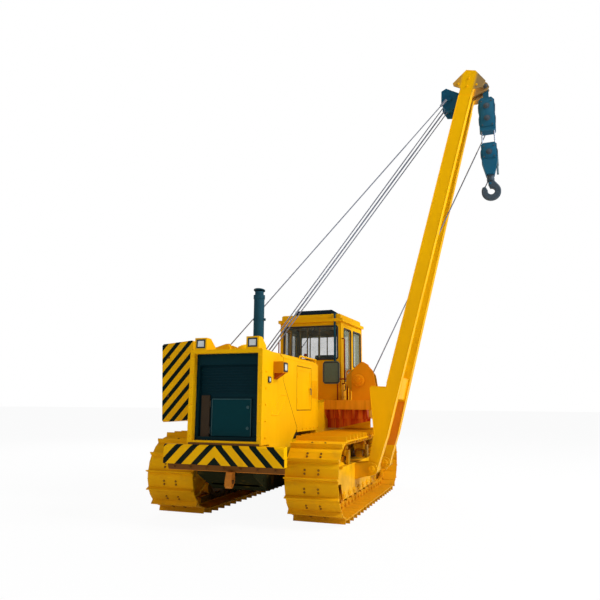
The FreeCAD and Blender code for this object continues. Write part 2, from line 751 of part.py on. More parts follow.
# Cab mirror on the front left corner.
mirror_arm = box((cab_front, 560, 2270), (-960, 600, 2300))
mirror_head = slab("mirror", "YZ", [(345, 2045), (305, 2090), (305, 2445), (345, 2490), (600, 2490),
                                    (640, 2445), (640, 2090), (600, 2045)], -960, -915)
node("cab_mirror", fuse([mirror_arm, mirror_head]))

# Decks beside the cab, over the tracks, on boxes braced from the platform.
deck_top = dim("deck_top")


def deck(front, notch):
    """The left deck as seen from above; its notch clears the boom's rear leg."""
    plan = [(front, 500), (front, 1460)]
    if notch:
        plan += [(-690, 1460), (-690, 1330), (-1080, 1330), (-1080, 1460)]
    plan += [(-2300, 1460), (-2300, 500)]
    plate = slab("deck", "XY", plan, deck_top - 45, deck_top)
    locker = box((-2250, 500, 1395), (front - 170, 1290, deck_top - 45))
    ribs = [slab("rib", "XZ", [(front, deck_top - 45), (front - 170, deck_top - 45), (front - 170, 1395),
                               (front - 60, 1480)], place, place + 24) for place in (500, 760, 1020, 1266)]
    fascia = box((front - 20, 500, deck_top - 170), (front, 1460, deck_top))
    return fuse([plate, locker, fascia, *ribs])


node("left_deck", deck(-350, True))
node("right_deck", mirrored(deck(-1120, False)))

# Fuel tank across the rear of the cab.
tank = slab("tank", "XZ", [
    (-2375, 1190), (-2375, 2330), (-2520, 2330), (-2640, 2200), (-2640, 1190)], -740, 740)
soften(tank, 30, runs_along(Y_AXIS, (-2520, 0, 2330), (-2640, 0, 2200)))
node("fuel_tank", tank)

# ---------------------------------------------------------------------------------------------------
# Load winch on the left deck
# ---------------------------------------------------------------------------------------------------

hoist_offset, hoist_level = dim("hoist_offset"), dim("hoist_level")
CHEEK_PLATE = [(1015, deck_top), (1015, 2230), (1135, 2366), (1211, 2419), (1303, 2381), (1412, 2253),
               (1458, 1983), (1455, deck_top)]
REAR_CHEEK = [(1015, deck_top), (1015, 2200), (1100, 2330), (1180, 2370), (1260, 2330), (1350, 2200),
              (1385, 1983), (1385, deck_top)]
winch_cheeks = [slab("cheek", "YZ", REAR_CHEEK, -980, -950), slab("cheek", "YZ", CHEEK_PLATE, -420, -390)]
winch_back = box((-950, 1015, deck_top), (-420, 1035, 1860))
winch_sill = box((-950, 1035, deck_top), (-420, 1300, deck_top + 30))
winch_motor = turned("motor", "X", [
    (-1150, 0), (-1150, 90), (-1060, 90), (-1060, 140), (-980, 140), (-980, 0)])
placed(winch_motor, 0, hoist_offset, hoist_level)
bearing = cylinder("X", (-390, hoist_offset, hoist_level), 90, 24)
node("load_winch_frame", fuse([*winch_cheeks, winch_back, winch_sill, winch_motor, bearing]))


def drum(rear, front, wound, flange):
    """A winch drum with its wound rope, turned about X."""
    return [(rear, 0), (rear, flange), (rear + 14, flange), (rear + 14, wound), (front - 12, wound),
            (front - 12, flange), (front, flange), (front, 0)]


load_drum = turned("drum", "X", drum(-944.5, -425, 152, 235))
placed(load_drum, 0, hoist_offset, hoist_level)
node("load_winch_drum", load_drum)

# ---------------------------------------------------------------------------------------------------
# Right-hand frame: boom winch, lower sheave block's tower and the counterweight's pivots
# ---------------------------------------------------------------------------------------------------

block_offset, block_level = dim("block_offset"), dim("block_level")
lever_root_offset, lever_root_level = dim("lever_root_offset"), dim("lever_root_level")
lever_length, lever_rise = dim("lever_length"), dim("lever_rise")
link_in, link_up = dim("link_in"), dim("link_up")
lift = math.radians(lever_rise.number)
LEVER_OUT = lever_length.number * math.cos(lift)
LEVER_UP = lever_length.number * math.sin(lift)
ROOT = (-lever_root_offset.number, lever_root_level.number)
LINK_ROOT = (ROOT[0] + link_in.number, ROOT[1] + link_up.number)
LEVER_END = (ROOT[0] - LEVER_OUT, ROOT[1] + LEVER_UP)
LINK_END = (LINK_ROOT[0] - LEVER_OUT, LINK_ROOT[1] + LEVER_UP)
CYLINDER_ROOT = (-620, 1600)
CYLINDER_X = -310
WINCH = (-840, 2020)
GUIDE = (-1280, 2620)
LEAD_X = -60

pedestal = slab("pedestal", "YZ", [
    (-420, 760), (-540, 760), (-600, 1262), (-1110, 1262), (-1110, 1440), (-580, 1440), (-580, 1215),
    (-500, 1215), (-500, hull_top), (-420, hull_top)], -900, 400)
base_plates = [slab("plate", "YZ", [(-590, 1440), (-590, 1960), (-760, 2090), (-1110, 1900),
                                    (-1190, 1640), (-1110, 1440)], low, low + 30) for low in (-845, 315)]
tower_plates = [slab("plate", "YZ", [(-590, 1440), (-590, 2300), (-700, 2470), (-980, 2470),
                                     (-1060, 2350), (-1060, 1440)], -512, -482)]
tower_plates.append(slab("plate", "YZ", [
    (-590, 1440), (-590, 2300), (-700, 2470), (-980, 2470), (-1200, 2730), (-1280, 2760), (-1375, 2715),
    (-1400, 2600), (-1340, 2500), (-1090, 2260), (-1060, 1440)], -138, -108))
guide_plate = slab("plate", "YZ", [
    (-1150, 2490), (-1130, 2640), (-1200, 2735), (-1280, 2760), (-1375, 2715), (-1400, 2600),
    (-1340, 2500), (-1220, 2400)], -20, 0)
guide_spacer = box((-108, -1210, 2430), (-20, -1150, 2485))
guide_sheave = turned("sheave", "X", [(LEAD_X - 22, 0), (LEAD_X - 22, 118), (LEAD_X - 8, 104),
                                      (LEAD_X + 8, 104), (LEAD_X + 22, 118), (LEAD_X + 22, 0)])
placed(guide_sheave, 0, *GUIDE)
guide_pin = cylinder("X", (-138, *GUIDE), 30, 138)
lever_pins = [cylinder("X", (start, *ROOT), 45, length) for start, length in ((-955, 110), (345, 110))]
link_pins = [cylinder("X", (start, *LINK_ROOT), 32, length) for start, length in ((-1040, 225), (315, 225))]
cylinder_lugs = [slab("lug", "YZ", [(-580, 1440), (-580, 1660), (-660, 1660), (-720, 1440)],
                      place, place + 25) for place in (-382, -263)]
cylinder_pin = cylinder("X", (CYLINDER_X - 78, *CYLINDER_ROOT), 20, 156)
node("right_frame", fuse([pedestal, *base_plates, *tower_plates, guide_plate, guide_spacer, guide_sheave,
                          guide_pin, *lever_pins, *link_pins, *cylinder_lugs, cylinder_pin]))

boom_drum = turned("drum", "X", drum(-103, 310, 190, 250))
placed(boom_drum, 0, *WINCH)
node("boom_winch_drum", boom_drum)

# ---------------------------------------------------------------------------------------------------
# Counterweight on its parallel levers, pushed out by one cylinder
# ---------------------------------------------------------------------------------------------------

LEVER_TURN = 90 - lever_rise.number


def capsule(length, start_radius, end_radius, waist):
    """An arm's outline along +Z, from an eye at the origin to an eye at its length."""
    return [(-start_radius, 0), (-start_radius * 0.7, -start_radius * 0.75),
            (start_radius * 0.7, -start_radius * 0.75), (start_radius, 0), (waist, length * 0.35),
            (end_radius, length), (end_radius * 0.7, length + end_radius * 0.75),
            (-end_radius * 0.7, length + end_radius * 0.75), (-end_radius, length), (-waist, length * 0.35)]


# Levers: two arms on the frame's pins, joined by a cross tube that carries the cylinder's ears.
arm_outline = capsule(lever_length.number, 85, 80, 90)
tube_up = 0.55 * lever_length.number
arms = [slab("arm", "YZ", arm_outline, low, low + 100,
             circles=[(0, 0, 45.5), (0, lever_length, 40.5)]) for low in (-950, 350)]
cross_tube = cylinder("X", (-850, 0, tube_up), 40, 1200)
ears = [slab("ear", "YZ", [(-50, tube_up), (0, tube_up + 50), (60, tube_up), (134, 375), (120, 325),
                           (70, 315), (20, 350)], low, low + 20) for low in (-365, -275)]
node("counterweight_levers", placed(fuse([*arms, cross_tube, *ears]), 0, *ROOT, X_AXIS, LEVER_TURN))

links = [slab("link", "YZ", capsule(lever_length.number, 58, 52, 48), low, low + 50,
              circles=[(0, 0, 32.5), (0, lever_length, 31)]) for low in (-1030, 480)]
node("counterweight_links", placed(together(links), 0, *LINK_ROOT, X_AXIS, LEVER_TURN))

# Counterweight: one cast block, chamfered, with shallow grooves where its slabs are bolted together,
# behind a front plate that reaches further in.
weight = slab("weight", "YZ", [
    (-1450, 1395), (-1475, 1367), (-1815, 1336), (-1842, 1360), (-1912, 2625), (-1888, 2652),
    (-1560, 2682), (-1532, 2655)], -1000, 1350)
for place in (-420, 180, 780):
    cut_slab(weight, "XZ", [(place, 1300), (place, 2700), (place + 10, 2700), (place + 10, 1300)],
             -1990, -1825)
weight_plate = slab("front_plate", "YZ", [
    (-1300, 1408), (-1325, 1381), (-1815, 1336), (-1842, 1360), (-1912, 2625), (-1888, 2652),
    (-1335, 2703), (-1310, 2680)], 1250, 1350)

carrier_outline = [(-1440, 1600), (-1240, 2270), (-1225, 2400), (-1030, 2590), (-1010, 2670),
                   (-1060, 2730), (-1130, 2730), (-1570, 2600), (-1500, 1600)]
carriers = [slab("carrier", "YZ", carrier_outline, low, low + 20) for low in (-975, 455)]
end_pins = [cylinder("X", (low, *LEVER_END), 40, 103) for low in (-955, 352)]
link_end_pins = [cylinder("X", (low, *LINK_END), 30, 80) for low in (-1035, 455)]
node("counterweight", fuse([weight, weight_plate, *carriers, *end_pins, *link_end_pins]))

# Cylinder: barrel on the frame's lugs, rod eye free between the levers' ears.
turn = math.radians(LEVER_TURN)
EYE = (ROOT[0] + 89 * math.cos(turn) - 359.5 * math.sin(turn),
       ROOT[1] + 89 * math.sin(turn) + 359.5 * math.cos(turn))
CLOSED = math.hypot(EYE[0] - CYLINDER_ROOT[0], EYE[1] - CYLINDER_ROOT[1])
CYLINDER_TURN = math.degrees(math.atan2(CYLINDER_ROOT[0] - EYE[0], EYE[1] - CYLINDER_ROOT[1]))
barrel = fuse([cylinder("X", (-42, 0, 0), 42, 84), box((-42, -36, 0), (42, 36, 90)),
               cylinder("Z", (0, 0, 88), 55, 292), cylinder("Z", (0, 0, 380), 62, 22)])
barrel = cut(barrel, [cylinder("X", (-50, 0, 0), 20.5, 100), cylinder("Z", (0, 0, 96), 28.5, 320)])
node("counterweight_cylinder", placed(barrel, CYLINDER_X, *CYLINDER_ROOT, X_AXIS, CYLINDER_TURN))
rod = fuse([cylinder("Z", (0, 0, 100), 28, CLOSED - 130), cylinder("X", (-30, 0, CLOSED), 45, 60)])
rod = cut(rod, [cylinder("X", (-40, 0, CLOSED), 24, 80)])
node("counterweight_rod", placed(rod, CYLINDER_X, *CYLINDER_ROOT, X_AXIS, CYLINDER_TURN))

# ---------------------------------------------------------------------------------------------------
# Side boom: a welded A-frame on two foot pins outside the left track
# ---------------------------------------------------------------------------------------------------

boom_length, boom_lean = dim("boom_length"), dim("boom_lean")
head_spread = dim("head_spread")
leg_width, leg_depth = dim("leg_width"), dim("leg_depth")
half_width, half_depth = leg_width * 0.5, leg_depth * 0.5
HEAD_BASE = 6760
CONVERGE = math.degrees(math.atan((foot_spread.number - head_spread.number) / boom_length.number))


def in_boom(piece):
    """Lean a piece that is modelled along +Z from the foot pins' axis out to the boom's place."""
    return placed(piece, boom_plane, boom_foot_offset, boom_foot_level, X_AXIS, -boom_lean)


def leg(sign, gusset):
    """One leg: a box beam that tapers to its foot; the front one carries a deep gusset."""
    outline = [(-80, 20), (-half_depth, 420), (-half_depth, 7000), (half_depth, 7000),
               (half_depth, 520), (80, 20)]
    beam = slab("leg", "YZ", outline, -half_width, half_width)
    tilt = placed(beam, x=sign * foot_spread, axis=Y_AXIS, degrees=-sign * CONVERGE)
    pieces = [tilt, cylinder("X", (sign * foot_spread - half_width, 0, 0), 90, leg_width)]
    if gusset:
        web = slab("gusset", "YZ", [(-90, 520), (-134, 617), (-364, 1259), (-350, 1290), (-90, 1345)],
                   -half_width, half_width)
        pieces.append(placed(web, x=sign * foot_spread, axis=Y_AXIS, degrees=-sign * CONVERGE))
    blank = fuse(pieces)
    above = box((-1500, -500, HEAD_BASE), (1500, 500, 7600))
    pin_hole = cylinder("X", (sign * foot_spread - 150, 0, 0), 45.5, 300)
    return cut(blank, [above, pin_hole])


front_leg, rear_leg = leg(1, True), leg(-1, False)
node("boom_front_leg", in_boom(front_leg))
node("boom_rear_leg", in_boom(rear_leg))

# Cross tie: a box plate between the legs, trimmed to their inner faces.
tie_blank = slab("tie", "YZ", [(-80, 1190), (-80, 1560), (80, 1560), (80, 1190)], -520, 520)
front_trim, rear_trim = leg(1, False), leg(-1, False)
node("boom_cross_tie", in_boom(cut(tie_blank, [front_trim, rear_trim])))

# Head: a cap that joins the legs, with lugs outside it for the hook tackle.
tackle_offset, tackle_level = dim("tackle_offset"), dim("tackle_level")


def to_boom(offset, level):
    """A point (y, z) of the machine's frame, in the boom's own frame."""
    return leaned(offset - boom_foot_offset.number, level - boom_foot_level.number, -boom_lean.number)


TACKLE_PIN = (tackle_offset.number, tackle_level.number)
tackle_at = to_boom(*TACKLE_PIN)
cap = slab("cap", "YZ", [(-half_depth, HEAD_BASE), (-half_depth, 7140), (-80, boom_length),
                         (85, boom_length), (half_depth, 7215), (half_depth, HEAD_BASE)], -300, 300)
slot = box((-65, -200, 6700), (65, 200, 7040))
tackle_lugs = [slab("lug", "YZ", [(85, boom_length), (tackle_at[0] + 20, tackle_at[1] + 70),
                                  (tackle_at[0] + 70, tackle_at[1]), (tackle_at[0] + 40, tackle_at[1] - 70),
                                  (100, 6860)], low, low + 35) for low in (-80, 45)]
wings = [slab("wing", "YZ", [(-80, boom_length), (-262, 6985), (-240, 6940), (-90, 6900), (90, 6900),
                             (275, 6960), (300, 7080), (85, boom_length)], low, low + 25)
         for low in (-300, 275)]
node("boom_head", in_boom(fuse([cut(cap, [slot]), *tackle_lugs, *wings])))

# Sheave bracket inside the head: two cheeks off the legs' inner faces, with the hoist sheaves between.
TIP_AT = (-285, 6740)
cheek = [(-half_depth, 6870), (-390, 6951), (-462, 6885), (-411, 6645), (-290, 6512), (-204, 6524),
         (-half_depth, 6640)]
cheeks = [slab("cheek", "YZ", cheek, low, low + 32) for low in (-160, 128)]
sheaves = turned("sheaves", "X", [
    (-130, 0), (-130, 132), (-117, 132), (-105, 118), (-93, 132), (-52, 132), (-40, 118), (-28, 132),
    (28, 132), (40, 118), (52, 132), (93, 132), (105, 118), (117, 132), (130, 132), (130, 0)])
placed(sheaves, 0, *TIP_AT)
tie_plate = slab("tie", "YZ", [(-390, 6951), (-462, 6885), (-440, 6860), (-372, 6922)], -140, 140)
node("boom_tip_block", in_boom(fuse([*cheeks, sheaves, tie_plate])))

# ---------------------------------------------------------------------------------------------------
# Boom hoist: four falls from the bracket at the head to a sheave block in the right-hand tower
# ---------------------------------------------------------------------------------------------------

rope_radius = dim("rope_radius")
BLOCK = (-block_offset.number, block_level.number)
tip_out, tip_up = leaned(*TIP_AT, boom_lean.number)
TIP_PIN = (boom_foot_offset.number + tip_out, boom_foot_level.number + tip_up)
RUN = math.hypot(TIP_PIN[0] - BLOCK[0], TIP_PIN[1] - BLOCK[1])
RUN_TURN = -math.degrees(math.atan2(TIP_PIN[0] - BLOCK[0], TIP_PIN[1] - BLOCK[1]))
FALLS = [(-105, -45), (-40, 45), (40, -45), (105, 45)]
SLIDE_CLEAR = 0.6           # between a rope and the hollow run of rope that it draws out of


def along_falls(piece):
    """Turn a piece modelled up +Z from the lower block's axis onto the falls' line."""
    return placed(piece, boom_plane, *BLOCK, X_AXIS, RUN_TURN)


upper_ropes = [cylinder("Z", (across, out, 700), rope_radius - 1 - SLIDE_CLEAR, RUN - 145 - 700)
               for across, out in FALLS]
node("boom_falls_upper", along_falls(together(upper_ropes)))
lower_ropes = [tube("Z", (across, out, 175), rope_radius, rope_radius - 1, RUN - 1075 - 175)
               for across, out in FALLS]
node("boom_falls_lower", along_falls(together(lower_ropes)))
block_outline = [(-150, -105), (-100, -165), (100, -165), (150, -105), (150, 115), (100, 175),
                 (-100, 175), (-150, 115)]
node("boom_lower_block", along_falls(slab("block", "YZ", block_outline, -155, 155)))

# Lead line from the boom winch's guide sheave to the bracket at the head, ending in a wedge socket.
LEAD_TOP = (2955, 7015)
LEAD_RUN = math.hypot(LEAD_TOP[0] - GUIDE[0], LEAD_TOP[1] - GUIDE[1])
LEAD_TURN = -math.degrees(math.atan2(LEAD_TOP[0] - GUIDE[0], LEAD_TOP[1] - GUIDE[1]))
LEAD_OUT = 120


def along_lead(piece):
    return placed(piece, LEAD_X, *GUIDE, X_AXIS, LEAD_TURN)


lead_upper = fuse([cylinder("Z", (0, -LEAD_OUT, 750), rope_radius - 1 - SLIDE_CLEAR, LEAD_RUN - 750),
                   cylinder("Z", (0, -LEAD_OUT, LEAD_RUN - 60), 24, 150)])
node("boom_lead_upper", along_lead(lead_upper))
lead_lower = tube("Z", (0, -LEAD_OUT, 0), rope_radius, rope_radius - 1, LEAD_RUN - 1000)
node("boom_lead_lower", along_lead(lead_lower))

# ---------------------------------------------------------------------------------------------------
# Hook tackle, hung plumb from the head, and the load line that feeds it
# ---------------------------------------------------------------------------------------------------

HOOK_TOP = 5700
upper_hook = fuse([slab("block", "YZ", [
    (-140, -840), (-100, -875), (100, -875), (140, -840), (140, -290), (90, -230), (-90, -230),
    (-140, -290)], -100, 100),
    slab("shackle", "YZ", [(-50, -235), (-50, 25), (-20, 50), (20, 50), (50, 25), (50, -235)], -39, 39)])
node("hook_upper_block", placed(upper_hook, boom_plane, tackle_offset, tackle_level))
hook_falls = [cylinder("Z", (boom_plane.number + across, tackle_offset.number + side * 108, 6290),
                       rope_radius, 6525 - 6290) for across in (-60, 0, 60) for side in (-1, 1)]
node("hook_falls", together(hook_falls))
lower_hook = slab("block", "YZ", [
    (-135, 6250), (-95, 6290), (95, 6290), (135, 6250), (135, 5960), (70, HOOK_TOP), (-70, HOOK_TOP),
    (-135, 5960)], -100, 100)
shank_bore = cylinder("Z", (0, 0, HOOK_TOP - 10), 36.5, 110)
node("hook_lower_block", placed(cut(lower_hook, [shank_bore]), boom_plane, tackle_offset, 0))


def hook_shape():
    """A forged hook: shank, collar and neck over a deep bowl with a bevelled section, open to the right."""
    centre, inner, outer = (0, 5395), 60, 165

    def ray(radius, degrees):
        turn = math.radians(degrees)
        return Vector(-45, centre[0] + radius * math.cos(turn), centre[1] + radius * math.sin(turn))

    def line(start, end):
        return Part.makeLine(start, end)

    def arc(radius, start, middle, end):
        return Part.Arc(ray(radius, start), ray(radius, middle), ray(radius, end)).toShape()

    neck_low, neck_high = 5525, HOOK_TOP - 90
    corners = [Vector(-45, 44, neck_high), Vector(-45, -44, neck_high), Vector(-45, -44, neck_low)]
    horn = Vector(-45, -98, 5492)
    edges = [line(corners[0], corners[1]), line(corners[1], corners[2]), line(corners[2], ray(inner, 105)),
             arc(inner, 105, -30, -195), line(ray(inner, -195), horn), line(horn, ray(outer, 150)),
             arc(outer, 150, 275, 400), line(ray(outer, 400), corners[0])]
    bowl = Part.Face(Part.Wire(edges)).extrude(Vector(90, 0, 0))
    rim = [edge for edge in bowl.Edges if all(abs(abs(end.Point.x) - 45) < 1e-6 for end in edge.Vertexes)
           and abs(edge.CenterOfMass.x) > 44 and edge.CenterOfMass.z < neck_high - 1]
    bowl = bowl.makeChamfer(16, rim)
    shank = Part.makeCylinder(36, 200, Vector(0, 0, HOOK_TOP - 110))
    collar = Part.makeCylinder(60, 45, Vector(0, 0, HOOK_TOP - 46))
    neck = Part.makeCylinder(44, 60, Vector(0, 0, neck_high - 15))
    return bowl.fuse([shank, collar, neck])


node("load_hook", placed(shaped("hook", hook_shape()), boom_plane, tackle_offset, 0))

LOAD_X = -460
LOAD_TOP = (TACKLE_PIN[0], TACKLE_PIN[1] - 480)
LOAD_RUN = math.hypot(LOAD_TOP[0] - hoist_offset.number, LOAD_TOP[1] - hoist_level.number)
LOAD_OUT, TOP_OUT = 170, 120
SKEW = math.degrees(math.asin((LOAD_OUT - TOP_OUT) / LOAD_RUN))
LOAD_TURN = -math.degrees(math.atan2(LOAD_TOP[0] - hoist_offset.number,
                                     LOAD_TOP[1] - hoist_level.number)) + SKEW
LOAD_LENGTH = LOAD_RUN * math.cos(math.radians(SKEW))


def along_load(piece):
    return placed(piece, LOAD_X, hoist_offset, hoist_level, X_AXIS, LOAD_TURN)


load_sheave = turned("sheave", "X", [(-20, 0), (-20, 128), (-10, 112), (10, 112), (20, 128), (20, 0)])
placed(load_sheave, 0, LOAD_OUT - TOP_OUT, LOAD_LENGTH)
load_upper = fuse([load_sheave, cylinder("Z", (0, LOAD_OUT, 500), rope_radius - 1 - SLIDE_CLEAR,
                                         LOAD_LENGTH - 500)])
node("load_line_upper", along_load(load_upper))
load_lower = tube("Z", (0, LOAD_OUT, 0), rope_radius, rope_radius - 1, LOAD_LENGTH - 700)
node("load_line_lower", along_load(load_lower))

# ---------------------------------------------------------------------------------------------------
# Checks and export
# ---------------------------------------------------------------------------------------------------

doc.recompute()
for thing in doc.Objects:
    if "Invalid" in thing.State or "Error" in thing.State:
        raise ValueError(f"{thing.Name} ({thing.Label}) failed to build")
os.makedirs("parts", exist_ok=True)
for name, piece in NODES.items():
    shape = piece.Shape
    if shape.isNull() or not shape.isValid() or not shape.Solids:
        raise ValueError(f"{name} has no valid solid")
    shape.exportStep(f"parts/{name}.step")
    print(f"{name:24s} solids {len(shape.Solids):3d}  volume {shape.Volume / 1e9:8.4f} m3")
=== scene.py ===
import math

import bmesh
import bpy
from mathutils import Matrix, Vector


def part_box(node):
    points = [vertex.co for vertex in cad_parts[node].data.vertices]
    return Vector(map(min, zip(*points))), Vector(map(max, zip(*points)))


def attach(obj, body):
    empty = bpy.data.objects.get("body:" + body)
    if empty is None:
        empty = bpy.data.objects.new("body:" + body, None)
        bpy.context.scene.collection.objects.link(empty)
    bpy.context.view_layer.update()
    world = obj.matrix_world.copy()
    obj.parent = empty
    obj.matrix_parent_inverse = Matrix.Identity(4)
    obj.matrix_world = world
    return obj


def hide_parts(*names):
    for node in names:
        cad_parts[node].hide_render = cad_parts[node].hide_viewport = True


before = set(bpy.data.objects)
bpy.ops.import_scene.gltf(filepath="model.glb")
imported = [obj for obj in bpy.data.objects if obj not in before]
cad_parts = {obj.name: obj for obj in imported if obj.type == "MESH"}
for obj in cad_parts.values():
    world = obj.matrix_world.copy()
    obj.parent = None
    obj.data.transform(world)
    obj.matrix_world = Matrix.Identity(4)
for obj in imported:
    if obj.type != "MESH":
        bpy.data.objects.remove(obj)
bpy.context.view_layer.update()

bpy.ops.object.select_all(action="DESELECT")

# ---------------------------------------------------------------------------------------------------
# Studio
# A pale floor that runs out of sight, a soft overhead light with two fills, and the camera.
# ---------------------------------------------------------------------------------------------------

CAMERA_PLACE = (9.75, 3.517, 1.638)
CAMERA_TURN = (100.574, -0.407, 109.048)        # degrees
CAMERA_LENS = 33.7                              # on a 36 mm sensor
FLOOR_SIZE = 400
PALE = (0.93, 0.93, 0.93, 1)


class Shade:
    """A socket of a material's node tree: sums and products of it add Math nodes, node() adds the rest."""

    def __init__(self, tree, socket=None):
        self.tree = tree
        self.socket = socket

    def node(self, kind, settings=None, inputs=None, output=0):
        """Add a node: its settings first, then the values or links of its sockets."""
        made = self.tree.nodes.new(kind)
        for name, value in (settings or {}).items():
            if name != "stops":
                setattr(made, name, value)
                continue
            while len(made.color_ramp.elements) < len(value):
                made.color_ramp.elements.new(0.5)
            for element, (place, colour) in zip(made.color_ramp.elements, value):
                element.position = place
                element.color = colour
        for name, value in (inputs or {}).items():
            if isinstance(value, Shade):
                self.tree.links.new(value.socket, made.inputs[name])
            else:
                made.inputs[name].default_value = value
        return Shade(self.tree, made.outputs[output])

    def math(self, operation, *values):
        return self.node("ShaderNodeMath", {"operation": operation}, dict(enumerate(values)))

    def __add__(self, other):
        return self.math("ADD", self, other)

    def __sub__(self, other):
        return self.math("SUBTRACT", self, other)

    def __rsub__(self, other):
        return self.math("SUBTRACT", other, self)

    def __mul__(self, other):
        return self.math("MULTIPLY", self, other)

    def __gt__(self, other):
        return self.math("GREATER_THAN", self, other)

    def __lt__(self, other):
        return self.math("LESS_THAN", self, other)

    __radd__ = __add__
    __rmul__ = __mul__


def new_material(name):
    """An empty material: its node tree, ready for nodes, and its output."""
    material = bpy.data.materials.new(name)
    material.use_nodes = True
    material.node_tree.nodes.clear()
    output = material.node_tree.nodes.new("ShaderNodeOutputMaterial")
    return material, Shade(material.node_tree), output


def studio_floor():
    """Matt and pale: camera, mirror and glass rays see plain white, and only shadow darkens it."""
    material, tree, output = new_material("studio_floor")
    matt = tree.node("ShaderNodeBsdfDiffuse", inputs={"Color": PALE})
    white = tree.node("ShaderNodeEmission", inputs={"Color": (1, 1, 1, 1), "Strength": 1.0})
    seen = tree.node("ShaderNodeLightPath", output="Is Camera Ray")
    mirrored = tree.node("ShaderNodeLightPath", output="Is Glossy Ray")
    through = tree.node("ShaderNodeLightPath", output="Is Transmission Ray")
    mixed = tree.node("ShaderNodeMixShader", inputs={0: (seen + mirrored + through) * 0.94, 1: matt,
                                                     2: white})
    tree.tree.links.new(mixed.socket, output.inputs["Surface"])
    return material


bpy.ops.mesh.primitive_plane_add(size=FLOOR_SIZE, location=(0, 0, 0))
floor = bpy.context.object
floor.name = "studio_floor"
floor.data.materials.append(studio_floor())

scene = bpy.context.scene
scene.view_settings.view_transform = "Standard"
world = bpy.data.worlds.new("studio_sky")
scene.world = world
world.use_nodes = True
sky = Shade(world.node_tree)
world.node_tree.nodes.clear()
sky_seen = sky.node("ShaderNodeLightPath", output="Is Camera Ray")
sky_through = sky.node("ShaderNodeLightPath", output="Is Transmission Ray")
sky_white = sky.node("ShaderNodeBackground", inputs={"Color": (1, 1, 1, 1), "Strength": 1.0})
sky_light = sky.node("ShaderNodeBackground", inputs={"Color": (0.94, 0.97, 1, 1), "Strength": 0.32})
sky_mixed = sky.node("ShaderNodeMixShader", inputs={0: sky_seen + sky_through, 1: sky_light, 2: sky_white})
sky_output = world.node_tree.nodes.new("ShaderNodeOutputWorld")
world.node_tree.links.new(sky_mixed.socket, sky_output.inputs["Surface"])


def soft_light(name, place, aim, size, power):
    """A square area light, turned towards a point of the machine."""
    lamp = bpy.data.lights.new(name, "AREA")
    lamp.size = size
    lamp.energy = power
    holder = bpy.data.objects.new(name, lamp)
    scene.collection.objects.link(holder)
    holder.location = place
    holder.rotation_euler = (Vector(aim) - Vector(place)).to_track_quat("-Z", "Y").to_euler()


soft_light("light_left", (2, 14, 13), (0, 0.5, 2), 6, 2700)
soft_light("light_front", (15, -5, 9), (0.5, 0, 2), 7, 340)
soft_light("light_rear", (-11, -9, 11), (0, 0, 2.5), 7, 1150)

bpy.ops.object.camera_add(location=CAMERA_PLACE,
                          rotation=[math.radians(turn) for turn in CAMERA_TURN])
camera = bpy.context.object
camera.data.lens = CAMERA_LENS
camera.data.sensor_width = 36
camera.data.clip_end = 1000
scene.camera = camera
bpy.ops.object.select_all(action="DESELECT")

# ---------------------------------------------------------------------------------------------------
# Hull, its cross members and the rear hitch
# A welded case of thick plate that the engine stands in, in chrome yellow gloss enamel that goes chalky
# where water runs and dusty low down; the hull's underside and lower sides are painted near black as
# shade. Belly guards are bolted up along both sides.
# ---------------------------------------------------------------------------------------------------

CHROME_YELLOW = (0.93, 0.485, 0.001, 1)
CHALKY_YELLOW = (0.78, 0.37, 0.004, 1)
DUST = (0.36, 0.17, 0.035, 1)
DUST_HEIGHT = 1.3
# Near black, for painted shade under the hull and inside the tracks' run.
SHADE_BLACK = (0.003, 0.010, 0.007, 1)
HULL_SIDE = 0.42


def blended(tree, share, first, second):
    """Two colours, mixed by a share that changes over the surface."""
    return tree.node("ShaderNodeMix", {"data_type": "RGBA"}, {0: share, 6: first, 7: second}, output=2)


def place_of(tree):
    """The surface's own place, as a vector and as its three coordinates."""
    place = tree.node("ShaderNodeTexCoord", output="Object")
    split = tree.node("ShaderNodeSeparateXYZ", inputs={0: place})
    holder = split.socket.node
    return place, [Shade(tree.tree, holder.outputs[axis]) for axis in range(3)]


def mottle(tree, place, scale, detail=5, low=0.35, high=0.68):
    """Soft blotches between 0 and 1."""
    noise = tree.node("ShaderNodeTexNoise", inputs={"Vector": place, "Scale": scale, "Detail": detail})
    return tree.node("ShaderNodeMapRange", inputs={0: noise, 1: low, 2: high})


def surfaced(material, tree, output, inputs):
    """Give a material its surface, from the values or links of the surface's sockets."""
    skin = tree.node("ShaderNodeBsdfPrincipled", inputs=inputs)
    tree.tree.links.new(skin.socket, output.inputs["Surface"])
    return material


def enamel(name, fresh, aged, dusty=1.0, pattern=None, shine=0.03):
    """Gloss enamel with faint ageing, streaks that run down and dust low on the machine."""
    material, tree, output = new_material(name)
    place, (x, y, z) = place_of(tree)
    streaked = tree.node("ShaderNodeMapping", inputs={"Vector": place, "Scale": (9, 9, 0.7)})
    age = mottle(tree, place, 1.7) * 0.45 + mottle(tree, streaked, 1.0, 3, 0.5, 0.8) * 0.3
    colour = blended(tree, age, fresh, aged)
    if pattern:
        colour = pattern(tree, colour, x, y, z)
    low_down = tree.node("ShaderNodeMapRange", inputs={0: z, 1: DUST_HEIGHT, 2: 0.1})
    dust = low_down * mottle(tree, place, 5.5, 8) * (0.4 * dusty)
    return surfaced(material, tree, output, {
        "Base Color": blended(tree, dust, colour, DUST), "Roughness": age * 0.16 + dust * 0.4 + 0.38,
        "Specular IOR Level": shine})


def wear(material, *names):
    """Give CAD pieces their finish."""
    for name in names:
        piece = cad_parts[name]
        piece.data.materials.clear()
        piece.data.materials.append(material)


